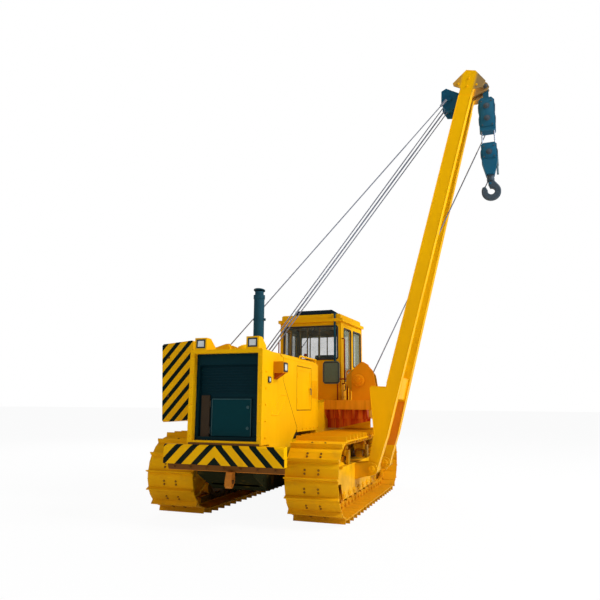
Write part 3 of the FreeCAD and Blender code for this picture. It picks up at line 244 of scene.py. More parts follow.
def disc(place, axis, radius, sides, fill="NGON"):
    """A round outline across an axis, open for editing with all of it selected."""
    bpy.ops.object.select_all(action="DESELECT")
    bpy.ops.mesh.primitive_circle_add(vertices=sides, radius=radius, fill_type=fill, location=place,
                                      rotation=axis.to_track_quat("Z", "Y").to_euler())
    bpy.ops.object.transform_apply(location=True, rotation=True, scale=True)
    bpy.ops.object.mode_set(mode="EDIT")
    bpy.ops.mesh.select_all(action="SELECT")


def closed_up(finish):
    """End the editing of a piece with all its faces turned outwards, and give it its finish."""
    bpy.ops.mesh.select_all(action="SELECT")
    bpy.ops.mesh.normals_make_consistent(inside=False)
    bpy.ops.object.mode_set(mode="OBJECT")
    piece = bpy.context.object
    piece.data.materials.append(finish)
    return piece


def turned(start, axis, profile, finish, sides=24, bore=False):
    """A turned part: a disc is drawn along its axis and widened or narrowed step by step.
    With a bore it is a ring: the profile is a closed one, and its end is joined to its start."""
    start, axis = Vector(start), Vector(axis).normalized()
    disc(start + axis * profile[0][0], axis, profile[0][1], sides, "NOTHING" if bore else "NGON")
    for (along, radius), (further, wider) in zip(profile, profile[1:] + profile[:1] * bore):
        bpy.ops.mesh.extrude_region_move(TRANSFORM_OT_translate={"value": axis * (further - along)})
        bpy.ops.transform.resize(value=(wider / radius,) * 3, center_override=start + axis * further)
    if bore:
        bpy.ops.mesh.select_all(action="SELECT")
        bpy.ops.mesh.remove_doubles(threshold=0.0001)
    return closed_up(finish)


def hex_bolt(size, axis, finish):
    """A hexagon head on its washer at the origin; size is half its width across corners."""
    return turned((0, 0, 0), axis, [(-0.2 * size, 1.25 * size), (0.2 * size, 1.25 * size), (0.2 * size, size),
                                    (0.85 * size, size), (size, 0.82 * size)], finish, 6)


def set_out(pattern, places, turns=None):
    """The same part at every place, each with its own mesh; the pattern itself goes."""
    made = []
    for number, place in enumerate(places):
        another = pattern.copy()
        another.data = pattern.data.copy()
        scene.collection.objects.link(another)
        another.location = place
        if turns:
            another.rotation_euler = turns[number]
        made.append(another)
    bpy.data.objects.remove(pattern)
    return made


def assemble(name, parts, body, stands_for=()):
    """Join the parts into one named piece that rides on its body."""
    bpy.ops.object.select_all(action="DESELECT")
    for part in parts:
        part.select_set(True)
    bpy.context.view_layer.objects.active = parts[0]
    if len(parts) > 1:
        bpy.ops.object.join()
    piece = bpy.context.object
    piece.name = piece.data.name = name
    bpy.ops.object.transform_apply(location=True, rotation=True, scale=True)
    bpy.ops.object.shade_smooth_by_angle(angle=math.radians(35))
    bpy.ops.object.select_all(action="DESELECT")
    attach(piece, body)
    if stands_for:
        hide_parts(*stands_for)
    return piece


def belly_shade(tree, colour, x, y, z):
    """Painted shade that darkens the hull's underside and its lower sides, thinning out upwards."""
    low_down = tree.node("ShaderNodeMapRange", inputs={0: z, 1: 1.10, 2: 0.88})
    patchy = mottle(tree, place_of(tree)[0], 4, 6, 0.2, 0.5)
    return blended(tree, tree.math("MINIMUM", low_down * (patchy * 0.15 + 0.88), 0.985), colour, SHADE_BLACK)


yellow = enamel("yellow_enamel", CHROME_YELLOW, CHALKY_YELLOW)
wear(yellow, "drawbar_hitch")
# The hull's own enamel gets no dust; its underside and lower sides get painted shade.
shaded_hull_paint = enamel("shaded_hull_enamel", CHROME_YELLOW, CHALKY_YELLOW, 0.0, belly_shade, 0.0)
wear(shaded_hull_paint, "main_frame", "frame_cross_members")
hull_bolts = []
for side in (1, -1):
    places = [(-2.2 + 0.3 * step, side * HULL_SIDE, 0.62) for step in range(16)]
    hull_bolts += set_out(hex_bolt(0.017, (0, side, 0), shaded_hull_paint), places)
hull_bolts += set_out(hex_bolt(0.02, (-1, 0, 0), shaded_hull_paint), [(-2.47, y, z) for y in (-0.12, 0.12)
                                                          for z in (0.56, 0.62)])
assemble("hull_bolts", hull_bolts, "tractor")

# ---------------------------------------------------------------------------------------------------
# Track roller frames and rollers
# Box frames in yellow enamel. Each holds eight double-flanged bottom rollers between its skirts, turned
# from forgings, and two carrier rollers above; every bottom roller's shaft ends in a bolted collar.
# ---------------------------------------------------------------------------------------------------

TRACK_CENTRE = 1.09
ROLLER_LEVEL = 0.298
CARRIER_LEVEL = 0.918
ROLLER_PLACES = [-1.12 + 0.32 * step for step in range(8)]
CARRIER_PLACES = (0.72, -0.64)
SKIRT_FACE = 0.165              # from a roller frame's middle
BOOM_X, FOOT_SPREAD = -0.31, 0.58      # the boom's plane, and how far its feet stand to each side of it
BOOM_FOOT_X = [BOOM_X + side * FOOT_SPREAD for side in (1, -1)]
BOOM_FOOT = (1.53, 0.62)        # the foot pins' place in Y and Z
SPROCKET_X = -1.90
WHEEL_LEVEL = 0.602             # of the idlers' and sprockets' axes
SHADE_TO, SHADE_OUT, SHADE_UP = 1.50, 1.0, 0.49    # how far the painted shade reaches ahead, out, and up or down from the axes
DRY_MUD = (0.45, 0.17, 0.01, 1)
LOW_RED_TONE = (0.60, 0.22, 0.006, 1)
ROLLER_OIL_AND_SHADE = (0.035, 0.018, 0.007, 1)
TRACK_PAINT = (0.86, 0.43, 0.002, 1)
TRACK_STEEL = (0.40, 0.19, 0.02, 1)


def inboard_shade(tree, colour, x, y, z):
    """Painted shade, near black, on whatever faces the hull, inside the run of the chain."""
    inside = (tree.math("ABSOLUTE", y) < SHADE_OUT) * (x < SHADE_TO) * (x > SPROCKET_X)
    inside = inside * (tree.math("ABSOLUTE", z - WHEEL_LEVEL) < SHADE_UP)
    return blended(tree, inside * (mottle(tree, place_of(tree)[0], 3, 5) * 0.25 + 0.72), colour, SHADE_BLACK)


def track_steel(name, paint, steel):
    """Worn paint over bare rolled steel, with mud in the hollows, redder and darker towards the bottom, and
    painted shade on the inboard faces.
    """
    material, tree, output = new_material(name)
    place, (x, y, z) = place_of(tree)
    worn = mottle(tree, place, 6, 8, 0.52, 0.76)
    grime = mottle(tree, place, 2.2, 6, 0.4, 0.7)
    ground_wear = tree.node("ShaderNodeMapRange", inputs={0: z, 1: 0.35, 2: 0.0})
    bare = tree.math("MINIMUM", worn * 0.25 + ground_wear * 0.3, 1.0)
    colour = blended(tree, grime * 0.18, blended(tree, bare, paint, steel), DRY_MUD)
    # Redder and darker towards the bottom.
    low_down = tree.node("ShaderNodeMapRange", inputs={0: z, 1: 1.0, 2: 0.1})
    colour = blended(tree, low_down * 0.35, colour, LOW_RED_TONE)
    # Painted shade on the faces inboard of the chain.
    colour = inboard_shade(tree, colour, x, y, z)
    return surfaced(material, tree, output, {"Base Color": colour, "Metallic": bare * 0.2,
                                             "Roughness": grime * 0.3 + 0.45, "Specular IOR Level": 0.03})


def oil_and_inboard_shade(tree, colour, x, y, z):
    """Black oil round the rollers and under the chain's top run, on the roller frames, heavier on their
    inboard faces as painted shade; painted shade also fills the chain's inside run.
    """
    patchy = mottle(tree, place_of(tree)[0], 3.2, 6, 0.42, 0.62)
    inboard = tree.math("ABSOLUTE", y) < 1.25
    colour = blended(tree, patchy * (inboard * 0.55 + 0.2), colour, ROLLER_OIL_AND_SHADE)
    return inboard_shade(tree, colour, x, y, z)


shoe_steel = track_steel("shoe_steel", TRACK_PAINT, TRACK_STEEL)
bolt_steel = track_steel("bolt_steel", (0.16, 0.075, 0.012, 1), (0.06, 0.035, 0.015, 1))
# The roller frames' enamel carries oil patches, and painted shade on their inboard faces.
wear(enamel("roller_frame_enamel", CHROME_YELLOW, CHALKY_YELLOW, 1.0, oil_and_inboard_shade), "track_frame_left",
     "track_frame_right")
bottom_roller = [(-0.14, 0.05), (-0.14, 0.116), (-0.129, 0.116), (-0.127, 0.104), (-0.066, 0.104),
                 (-0.058, 0.076), (0.058, 0.076), (0.066, 0.104), (0.127, 0.104), (0.129, 0.116),
                 (0.14, 0.116), (0.14, 0.05)]
carrier_roller = [(-0.108, 0.04), (-0.108, 0.084), (-0.07, 0.084), (-0.06, 0.062), (0.06, 0.062),
                  (0.07, 0.084), (0.108, 0.084), (0.108, 0.04)]
rollers = []
for side in (1, -1):
    rollers += set_out(turned((0, 0, 0), (0, 1, 0), bottom_roller, shoe_steel),
                       [(x, side * TRACK_CENTRE, ROLLER_LEVEL) for x in ROLLER_PLACES])
    rollers += set_out(turned((0, 0, 0), (0, 1, 0), carrier_roller, shoe_steel),
                       [(x, side * TRACK_CENTRE, CARRIER_LEVEL) for x in CARRIER_PLACES])
assemble("flanged_rollers", rollers, "tractor", ["track_rollers"])

collars = []
for side in (1, -1):
    face = side * (TRACK_CENTRE + SKIRT_FACE)
    collars += set_out(turned((0, 0, 0), (0, side, 0), [(-0.005, 0.05), (0.012, 0.05), (0.016, 0.044),
                                                       (0.016, 0.02), (0.024, 0.018)], yellow, 20),
                       [(x, face, ROLLER_LEVEL) for x in ROLLER_PLACES])
    collars += set_out(hex_bolt(0.013, (0, side, 0), yellow), [(x + shift, face, ROLLER_LEVEL + 0.012)
                                                               for x in ROLLER_PLACES
                                                               for shift in (-0.075, 0.075)])
assemble("roller_collars", collars, "tractor")

# Boom foot pins: a keeper plate with two bolts on each end of each pin.
keepers = []
for x in BOOM_FOOT_X:
    for side in (1, -1):
        keepers.append(turned((x + side * 0.155, *BOOM_FOOT), (side, 0, 0),
                              [(-0.005, 0.052), (0.013, 0.052), (0.018, 0.045)], yellow))
        keepers += set_out(hex_bolt(0.012, (side, 0, 0), yellow),
                           [(x + side * 0.173, BOOM_FOOT[0] + out, BOOM_FOOT[1]) for out in (-0.024, 0.024)])
assemble("foot_pin_keepers", keepers, "tractor")

# ---------------------------------------------------------------------------------------------------
# Idlers
# Cast front wheels with a sunk web that steer the chain. Each turns on a shaft in the frame's fork, and a
# round bearing cap with six bolts closes the fork's outer side.
# ---------------------------------------------------------------------------------------------------

IDLER_X = 1.72


def bolt_ring(centre, axis, radius, count, size, finish):
    """Bolts on a circle round an axis along X or Y."""
    places = []
    for number in range(count):
        turn = 2 * math.pi * (number + 0.5) / count
        across, up = radius * math.cos(turn), radius * math.sin(turn)
        shift = (0, across, up) if axis[0] else (across, 0, up)
        places.append(Vector(centre) + Vector(shift))
    return set_out(hex_bolt(size, axis, finish), places)


wear(yellow, "idlers")
caps = []
for side in (1, -1):
    face = side * (TRACK_CENTRE + SKIRT_FACE)
    caps.append(turned((IDLER_X, face, WHEEL_LEVEL), (0, side, 0), [(-0.005, 0.095), (0.018, 0.095),
                                                                    (0.026, 0.086), (0.026, 0.05),
                                                                    (0.036, 0.045)], yellow))
    caps += bolt_ring((IDLER_X, face + side * 0.026, WHEEL_LEVEL), (0, side, 0), 0.068, 6, 0.011, yellow)
assemble("idler_caps", caps, "tractor")

# ---------------------------------------------------------------------------------------------------
# Sprockets and final drives
# Toothed rims bolted to the final drives' hubs. The outer covers are cast, in yellow enamel, with a ring
# of bolts and an oil plug in the middle.
# ---------------------------------------------------------------------------------------------------

COVER_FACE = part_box("final_drives")[1][1]

wear(yellow, "final_drives", "sprockets")
covers = []
for side in (1, -1):
    axis = (0, side, 0)
    covers += bolt_ring((SPROCKET_X, side * (TRACK_CENTRE + 0.015), WHEEL_LEVEL), axis, 0.325, 20, 0.014,
                        yellow)
    covers.append(turned((SPROCKET_X, side * COVER_FACE, WHEEL_LEVEL), axis,
                         [(-0.01, 0.212), (0.008, 0.212), (0.016, 0.200), (0.016, 0.11), (0.030, 0.10),
                          (0.036, 0.088)], yellow, 40))
    covers += bolt_ring((SPROCKET_X, side * (COVER_FACE + 0.014), WHEEL_LEVEL), axis, 0.165, 12, 0.015,
                        yellow)
    covers.append(turned((SPROCKET_X, side * (COVER_FACE + 0.034), WHEEL_LEVEL), axis,
                         [(-0.005, 0.028), (0.012, 0.028), (0.015, 0.022)], yellow, 6))
assemble("final_drive_covers", covers, "tractor")

# ---------------------------------------------------------------------------------------------------
# Tracks
# Forged links on pins and bushings, with rolled single-grouser shoes held by four bolts each and lapped
# over one another at their edges. Painted with the machine, and worn thin where they meet the ground.
# ---------------------------------------------------------------------------------------------------

PIN_RADIUS = 0.465              # of the pins' path round idler and sprocket
SHOE_COUNT = 47
RAIL_OFFSET = 0.098
SHOE_FACE = 0.071               # from the pins out to the shoes' plates


def chain_point(travel):
    """The point of the pins' path, in X and Z, at a distance along it."""
    straight, half_turn = IDLER_X - SPROCKET_X, math.pi * PIN_RADIUS
    travel = travel % (2 * (straight + half_turn))
    if travel < straight:
        return Vector((SPROCKET_X + travel, 0, WHEEL_LEVEL - PIN_RADIUS))
    if travel < straight + half_turn:
        turn = (travel - straight) / PIN_RADIUS
        return Vector((IDLER_X + PIN_RADIUS * math.sin(turn), 0, WHEEL_LEVEL - PIN_RADIUS * math.cos(turn)))
    if travel < 2 * straight + half_turn:
        return Vector((IDLER_X - (travel - straight - half_turn), 0, WHEEL_LEVEL + PIN_RADIUS))
    turn = (travel - 2 * straight - half_turn) / PIN_RADIUS
    return Vector((SPROCKET_X - PIN_RADIUS * math.sin(turn), 0, WHEEL_LEVEL + PIN_RADIUS * math.cos(turn)))


def block(low, high, round_off, finish):
    """A block between two corners, with its edges rounded off."""
    low, high = Vector(low), Vector(high)
    bpy.ops.object.select_all(action="DESELECT")
    bpy.ops.mesh.primitive_cube_add(size=1, location=(low + high) / 2)
    piece = bpy.context.object
    piece.scale = high - low
    bpy.ops.object.transform_apply(location=True, rotation=True, scale=True)
    bpy.ops.object.mode_set(mode="EDIT")
    bpy.ops.mesh.select_all(action="SELECT")
    bpy.ops.mesh.bevel(offset=round_off, segments=2, affect="EDGES")
    bpy.ops.object.mode_set(mode="OBJECT")
    piece.data.materials.append(finish)
    return piece


wear(shoe_steel, "track_left", "track_right")
chain_length = 2 * (IDLER_X - SPROCKET_X + math.pi * PIN_RADIUS)
pins = [chain_point(chain_length * number / SHOE_COUNT) for number in range(SHOE_COUNT)]
pin_profile = [(-0.145, 0.026), (-0.134, 0.026), (-0.134, 0.040), (-0.124, 0.040), (-0.124, 0.034),
               (0.124, 0.034), (0.124, 0.040), (0.134, 0.040), (0.134, 0.026), (0.145, 0.026)]
for side, side_name in ((1, "left"), (-1, "right")):
    places, turns = [], []
    for pin, after in zip(pins, pins[1:] + pins[:1]):
        along = (after - pin).normalized()
        outward = Vector((along.z, 0, -along.x))
        pitch = (after - pin).length
        for share in (0.62, 0.85):
            for rail in (-RAIL_OFFSET, RAIL_OFFSET):
                place = pin + along * pitch * share + outward * SHOE_FACE
                places.append((place.x, side * TRACK_CENTRE + rail, place.z))
                turns.append((0, math.atan2(-along.z, along.x), 0))
    assemble(f"shoe_bolts_{side_name}", set_out(hex_bolt(0.014, (0, 0, -1), bolt_steel), places, turns),
             "tractor")
    lip_turns = []
    for before, after in zip(pins[-1:] + pins[:-1], pins[1:] + pins[:1]):
        course = (after - before).normalized()
        lip_turns.append((0, math.atan2(-course.z, course.x), 0))
    places = [(pin.x, side * TRACK_CENTRE, pin.z) for pin in pins]
    assemble(f"shoe_lips_{side_name}", set_out(block((-0.034, -0.379, -0.067), (0.034, 0.379, -0.054), 0.003,
                                                     shoe_steel), places, lip_turns), "tractor")
    assemble(f"chain_pins_{side_name}", set_out(turned((0, 0, 0), (0, 1, 0), pin_profile, shoe_steel, 8),
                                                places), "tractor")

# ---------------------------------------------------------------------------------------------------
# Bumper beam and pull hook
# A box beam across the nose with black slanting stripes sprayed through a mask, meeting in chevrons near
# its middle. A lower plate is bolted under it, painted dark brown as the shade under the beam, and the
# forged pull hook hangs from that.
# ---------------------------------------------------------------------------------------------------

STRIPE_BLACK = (0.002, 0.010, 0.009, 1)
PRIMER_AND_SHADE_BROWN = (0.16, 0.060, 0.012, 1)
HOOK_ORANGE = (0.50, 0.165, 0.020, 1)
STRIPE_PITCH = 0.25
CHEVRON_MIDDLE = -0.105
PLATE_FOOT, PLATE_TOP = 0.752, 0.832
BEAM_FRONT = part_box("bumper_beam")[1][0]


def beam_stripes(tree, colour, x, y, z):
    """Chevrons over the beam's front face, painted brown shade on the plate below, and orange on the hook
    under that.
    """
    outwards = tree.math("ABSOLUTE", y - CHEVRON_MIDDLE)
    phase = tree.math("FRACT", (outwards + z - 0.835) * (1 / STRIPE_PITCH))
    dark = (phase < 0.42) * (x > BEAM_FRONT - 0.03) * (z > PLATE_TOP - 0.002)
    plate = (z < PLATE_TOP) * (z > PLATE_FOOT)
    striped = blended(tree, dark, colour, STRIPE_BLACK)
    return blended(tree, z < PLATE_FOOT, blended(tree, plate, striped, PRIMER_AND_SHADE_BROWN), HOOK_ORANGE)


wear(enamel("striped_beam", CHROME_YELLOW, CHALKY_YELLOW, 0.2, beam_stripes, 0.03), "bumper_beam")
# Dark brown for painted shade on the beam's lower plate and the guard's lip, and for some bolts.
primer_and_shade = enamel("brown_primer_and_shade", PRIMER_AND_SHADE_BROWN, (0.10, 0.05, 0.02, 1), 0.2, shine=0.03)
beam_bolts = set_out(hex_bolt(0.014, (1, 0, 0), primer_and_shade), [(2.70, -0.75 + 0.25 * step, 0.79)
                                                          for step in range(7)])
beam_bolts.append(turned((2.712, 0.045, 0.628), (0, 1, 0), [(0, 0.024), (0.004, 0.027), (0.115, 0.027),
                                                            (0.119, 0.024)], primer_and_shade))
assemble("beam_bolts", beam_bolts, "tractor")

# ---------------------------------------------------------------------------------------------------
# Engine, hood and its side doors
# The hood is bent sheet in yellow enamel over the dark engine block. Its side doors hang on two pin
# hinges and close with a lever latch; louvres are pressed in beside them, and a grab rail runs on top.
# ---------------------------------------------------------------------------------------------------

HOOD_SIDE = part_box("hood")[1][1]
HOOD_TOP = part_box("hood")[1][2]
ENGINE_GREY = (0.09, 0.10, 0.10, 1)
DOOR_HINGE = (1.315, 0.553)      # the side doors' hinge pins, along and out
HINGE_LEVELS = (1.70, 2.10)


def bedded(face, side, under, over):
    """From where to where a part reaches that is let into a side's face and stands out from it."""
    return sorted((face - side * under, face + side * over))


def pipe(points, radius, bend, finish, sides=10):
    """A bent bar: a disc is drawn along each straight and spun round each corner."""
    points = [Vector(point) for point in points]
    course = (points[1] - points[0]).normalized()
    disc(points[0], course, radius, sides)
    reached = points[0]
    for corner, after in zip(points[1:-1], points[2:]):
        ahead, onward = (corner - reached).normalized(), (after - corner).normalized()
        turn = ahead.angle(onward)
        setback = bend * math.tan(turn / 2)
        stop = corner - ahead * setback
        bpy.ops.mesh.extrude_region_move(TRANSFORM_OT_translate={"value": stop - reached})
        hinge = ahead.cross(onward).normalized()
        bpy.ops.mesh.spin(steps=4, angle=-turn, center=stop + hinge.cross(ahead) * bend, axis=hinge)
        reached = corner + onward * setback
    bpy.ops.mesh.extrude_region_move(TRANSFORM_OT_translate={"value": points[-1] - reached})
    return closed_up(finish)


wear(yellow, "hood", "engine_door_left", "engine_door_right")
engine_grey = enamel("engine_enamel", ENGINE_GREY, (0.05, 0.05, 0.05, 1), 1.0)
wear(engine_grey, "engine_block")

head_covers = [block((0.78 + 0.18 * step, -0.16, 1.755), (0.92 + 0.18 * step, 0.16, 1.83), 0.015, engine_grey)
               for step in range(6)]
head_covers.append(pipe([(0.80, 0.25, 1.80), (1.80, 0.25, 1.80), (1.80, 0.25, 2.0)], 0.05, 0.08,
                        engine_grey, 16))
assemble("engine_head_covers", head_covers, "tractor")

fittings = []
for side in (1, -1):
    face = side * HOOD_SIDE
    edge = bedded(face, side, 0.002, 0.009)
    louvre = block((-0.012, edge[0], -0.15), (0.012, edge[1], 0.15), 0.004, yellow)
    fittings += set_out(louvre, [(0.27 + 0.045 * step, 0, 1.9) for step in range(7)])
    seam = bedded(face, side, 0.002, 0.003)
    fittings.append(block((0.21, seam[0], 2.318), (1.93, seam[1], 2.326), 0.001, yellow))
    fittings += set_out(hex_bolt(0.011, (0, side, 0), yellow),
                        [(0.25 + 0.2 * step, face, 1.262) for step in range(5)])
fittings.append(pipe([(0.28, 0.515, 2.35), (0.28, 0.54, 2.415), (1.14, 0.54, 2.415), (1.14, 0.515, 2.35)],
                     0.014, 0.03, yellow))
fittings += set_out(hex_bolt(0.011, (0, 0, 1), yellow),
                    [(0.26 + 0.2 * step, side * 0.46, HOOD_TOP) for step in range(9) for side in (1, -1)])
for x in (0.45, 1.85):
    fittings.append(pipe([(x - 0.05, 0, HOOD_TOP - 0.01), (x - 0.05, 0, HOOD_TOP + 0.09),
                          (x + 0.05, 0, HOOD_TOP + 0.09), (x + 0.05, 0, HOOD_TOP - 0.01)], 0.013, 0.04,
                         yellow))
# Dark brown strips round the side doors and along the nose seam, painted shadow in those gaps.
gap_shadow = enamel("gap_shadow_strip", (0.22, 0.085, 0.006, 1), (0.12, 0.05, 0.01, 1), 0.5)
strips = []
for side in (1, -1):
    face = side * (HOOD_SIDE - 0.002)
    corners = [(0.592, face, 1.552), (1.328, face, 1.552), (1.328, face, 2.248), (0.592, face, 2.248)]
    middle = ((corners[0][0] + corners[1][0]) / 2, face, corners[0][2])
    strips.append(pipe([middle, *corners[1:], corners[0], middle], 0.005, 0.014, gap_shadow, 8))
    strips.append(pipe([(1.295, face, 1.281), (1.937, face, 1.998), (1.937, face, 2.33)], 0.005, 0.02,
                       gap_shadow, 8))
assemble("hood_gap_shadow_strips", strips, "tractor")
assemble("hood_fittings", fittings, "tractor")

for side, side_name in ((1, "left"), (-1, "right")):
    face = side * HOOD_SIDE
    latch = [turned((0.69, face - side * 0.006, 1.9), (0, side, 0),
                    [(0, 0.03), (0.012, 0.03), (0.014, 0.022)], yellow),
             pipe([(0.69, face, 1.9), (0.69, face + side * 0.03, 1.9), (0.69, face + side * 0.03, 1.80)],
                  0.009, 0.012, engine_grey)]
    leaf = bedded(face, side, 0.003, 0.005)
    for level in HINGE_LEVELS:
        latch.append(block((1.235, leaf[0], level - 0.035), (1.296, leaf[1], level + 0.035), 0.003, yellow))
        latch.append(turned((DOOR_HINGE[0], side * DOOR_HINGE[1], level - 0.05), (0, 0, 1),
                            [(0, 0.0042), (0.1, 0.0042)], yellow, 12))
    assemble(f"engine_door_latch_{side_name}", latch, f"engine_door_{side_name}")

# ---------------------------------------------------------------------------------------------------
# Radiator guard
# A heavy nose frame with raked cheeks in yellow enamel. A domed filler cover is bolted on its top, a
# raised border stiffens each cheek, and a lip painted dark brown as a shadow line runs along its foot over
# the beam.
# ---------------------------------------------------------------------------------------------------

GUARD_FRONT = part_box("radiator_guard")[1][0]


def raised_border(corners, radius, finish):
    """A rounded border round a shape on a flat face: a thin bar bent at every corner."""
    corners = [Vector(corner) for corner in corners]
    start = (corners[0] + corners[1]) / 2
    return pipe([start, *corners[1:], corners[0], start], radius, radius * 2.5, finish, 8)


wear(yellow, "radiator_guard")
guard_parts = [turned((2.27, 0.09, HOOD_TOP), (0, 0, 1), [(-0.01, 0.135), (0.03, 0.135), (0.07, 0.115),
                                                          (0.10, 0.07), (0.112, 0.03)], yellow, 32)]
for side in (1, -1):
    face = side * HOOD_SIDE
    guard_parts.append(raised_border([(1.76, face, 1.78), (2.02, face, 1.78), (2.43, face, 1.495),
                                      (2.12, face, 1.495)], 0.007, yellow))
    guard_parts += set_out(hex_bolt(0.014, (0, side, 0), yellow),
                           [(2.60, face, 1.2 + 0.22 * step) for step in range(5)])
    guard_parts += set_out(hex_bolt(0.013, (1, 0, 0), yellow),
                           [(GUARD_FRONT, side * 0.52, 1.2 + 0.22 * step) for step in range(6)])
assemble("guard_fittings", guard_parts, "tractor")
# The lip is painted dark brown as the shadow line along the guard's foot.
assemble("guard_lip", [block((GUARD_FRONT - 0.01, -0.53, 1.098), (GUARD_FRONT + 0.012, 0.53, 1.124),
                             0.004, primer_and_shade)], "tractor")

# ---------------------------------------------------------------------------------------------------
# Radiator grille and its clean-out door
# Dark blue-green enamelled sheet with pressed slats, set back in the guard. The clean-out door low in it
# is a lighter shade inside a pale folded edge, and hangs on a brown post.
# ---------------------------------------------------------------------------------------------------

GRILLE_TEAL = (0.0008, 0.018, 0.026, 1)
DOOR_TEAL = (0.0008, 0.034, 0.042, 1)
POST_BROWN = (0.045, 0.030, 0.018, 1)
DOOR_FACE = 2.608
SHEET_FACE = 2.592              # of the grille, behind the door and its post


def grille_tones(tree, colour, x, y, z):
    """The door's lighter sheet and the brown post beside it."""
    door = (y > -0.248) * (y < 0.353) * (z > 1.21) * (z < 1.72) * (x > SHEET_FACE)
    post = (y > -0.41) * (y < -0.262) * (z > 1.198) * (z < 1.76) * (x > SHEET_FACE)
    return blended(tree, post, blended(tree, door, colour, DOOR_TEAL), POST_BROWN)


wear(enamel("grille_enamel", GRILLE_TEAL, (0.002, 0.024, 0.030, 1), 0.3, grille_tones, 0.05),
     "radiator_grille")
teal = enamel("slat_enamel", GRILLE_TEAL, (0.003, 0.024, 0.034, 1), 0.3, shine=0.05)
pale_edge = enamel("door_edge_enamel", (0.05, 0.11, 0.12, 1), (0.03, 0.07, 0.08, 1), 0.5)
slats = set_out(block((2.584, -0.43, -0.007), (2.598, 0.43, 0.007), 0.003, teal),
                [(0, 0, 1.80 + 0.038 * step) for step in range(10)])
slats += set_out(block((2.584, 0.37, -0.007), (2.598, 0.43, 0.007), 0.003, teal),
                 [(0, 0, 1.23 + 0.038 * step) for step in range(14)])
assemble("grille_slats", slats, "tractor")
edges = [block((DOOR_FACE - 0.002, y - 0.005, 1.215), (DOOR_FACE + 0.008, y + 0.005, 1.715), 0.002, pale_edge)
         for y in (-0.242, 0.347)]
edges.append(block((DOOR_FACE - 0.002, -0.24, 1.704), (DOOR_FACE + 0.008, 0.345, 1.714), 0.002, pale_edge))
edges += [turned((DOOR_FACE - 0.002, 0.30, z), (1, 0, 0), [(0, 0.022), (0.010, 0.022), (0.013, 0.016)],
                 pale_edge, 16) for z in (1.32, 1.60)]
assemble("grille_door_edge", edges, "tractor")

# ---------------------------------------------------------------------------------------------------
# Work lamps
# Pressed housings in yellow enamel. Each lens is pressed glass in a black rubber rim; two lamps look
# forward from the guard and one lights the boom side. A small marker lamp sits on the cheek.
# ---------------------------------------------------------------------------------------------------

LENS_FACE = 2.725
BRACKET_RED = (0.42, 0.075, 0.004, 1)
LAMP_ORANGE = (0.62, 0.20, 0.003, 1)
BRACKET_TOP = 2.079


def plain_stuff(name, colour, roughness, metallic=0.0, grain=40, bumpy=0.0):
    """Rubber, moulded plastic, cloth or plated steel: one colour with a fine grain."""
    material, tree, output = new_material(name)
    speck = mottle(tree, place_of(tree)[0], grain, 3)
    worn = tuple(min(1, part * 1.35 + 0.004) for part in colour[:3]) + (1,)
    inputs = {"Base Color": blended(tree, speck * 0.5, colour, worn), "Roughness": speck * 0.1 + roughness,
              "Metallic": metallic}
    if bumpy:
        inputs["Normal"] = tree.node("ShaderNodeBump", inputs={"Strength": 0.4, "Distance": bumpy,
                                                               "Height": speck})
    return surfaced(material, tree, output, inputs)


def pick_face(piece, direction):
    """Open a piece for editing, with its largest face that looks in a direction selected."""
    bpy.ops.object.mode_set(mode="EDIT")
    bpy.ops.mesh.select_mode(type="FACE")
    bpy.ops.mesh.select_all(action="DESELECT")
    shape = bmesh.from_edit_mesh(piece.data)
    facing = [face for face in shape.faces if face.normal.dot(direction) > 0.99]
    max(facing, key=lambda face: face.calc_area()).select_set(True)
    bmesh.update_edit_mesh(piece.data)


def sunk(piece, direction, border, depth, pane=None):
    """Sink the largest face that looks in a direction, inside a border; pane is that face's own finish."""
    direction = Vector(direction)
    bpy.ops.object.select_all(action="DESELECT")
    piece.select_set(True)
    bpy.context.view_layer.objects.active = piece
    if pane:
        piece.data.materials.append(pane)
    pick_face(piece, direction)
    bpy.ops.mesh.inset(thickness=border)
    bpy.ops.mesh.extrude_region_move(TRANSFORM_OT_translate={"value": direction * -depth})
    if pane:
        piece.active_material_index = 1
        bpy.ops.object.material_slot_assign()
    bpy.ops.object.mode_set(mode="OBJECT")
    return piece


def lamp_colours(tree, colour, x, y, z):
    """The side lamp's box in orange, on a bracket in red-brown undercoat."""
    side_lamp = y > 0.555
    bracket = (z < BRACKET_TOP) * side_lamp
    box = (z > BRACKET_TOP) * (z < 2.3) * side_lamp
    return blended(tree, box * 0.8, blended(tree, bracket, colour, BRACKET_RED), LAMP_ORANGE)


wear(enamel("lamp_enamel", CHROME_YELLOW, CHALKY_YELLOW, 0.7, lamp_colours), "work_lamps")
rubber = plain_stuff("black_rubber", (0.012, 0.013, 0.014, 1), 0.55)
lens_glass = plain_stuff("lens_glass", (0.62, 0.66, 0.66, 1), 0.08, grain=90, bumpy=0.002)
lenses = []
for side in (1, -1):
    low, high = sorted((side * 0.326, side * 0.469))
    lenses.append(sunk(block((2.70, low, 2.413), (LENS_FACE + 0.004, high, 2.539), 0.006, rubber),
                       (1, 0, 0), 0.014, 0.006, lens_glass))
lenses.append(sunk(block((2.165, 0.695, 2.095), (2.315, 0.716, 2.225), 0.006, rubber),
                   (0, 1, 0), 0.014, 0.006, lens_glass))
lenses.append(sunk(block((2.44, HOOD_SIDE - 0.003, 1.935), (2.53, HOOD_SIDE + 0.02, 2.02), 0.005, rubber),
                   (0, 1, 0), 0.012, 0.004, lens_glass))
assemble("lamp_lenses", lenses, "tractor")

# ---------------------------------------------------------------------------------------------------
# Exhaust stack
# Steel pipe on a flange in dark blue enamel, bolted to the hood, with two band clamps and a rain flap
# hinged at its edge.
# ---------------------------------------------------------------------------------------------------

STACK_X = 1.60
STACK_BLUE = (0.012, 0.062, 0.095, 1)

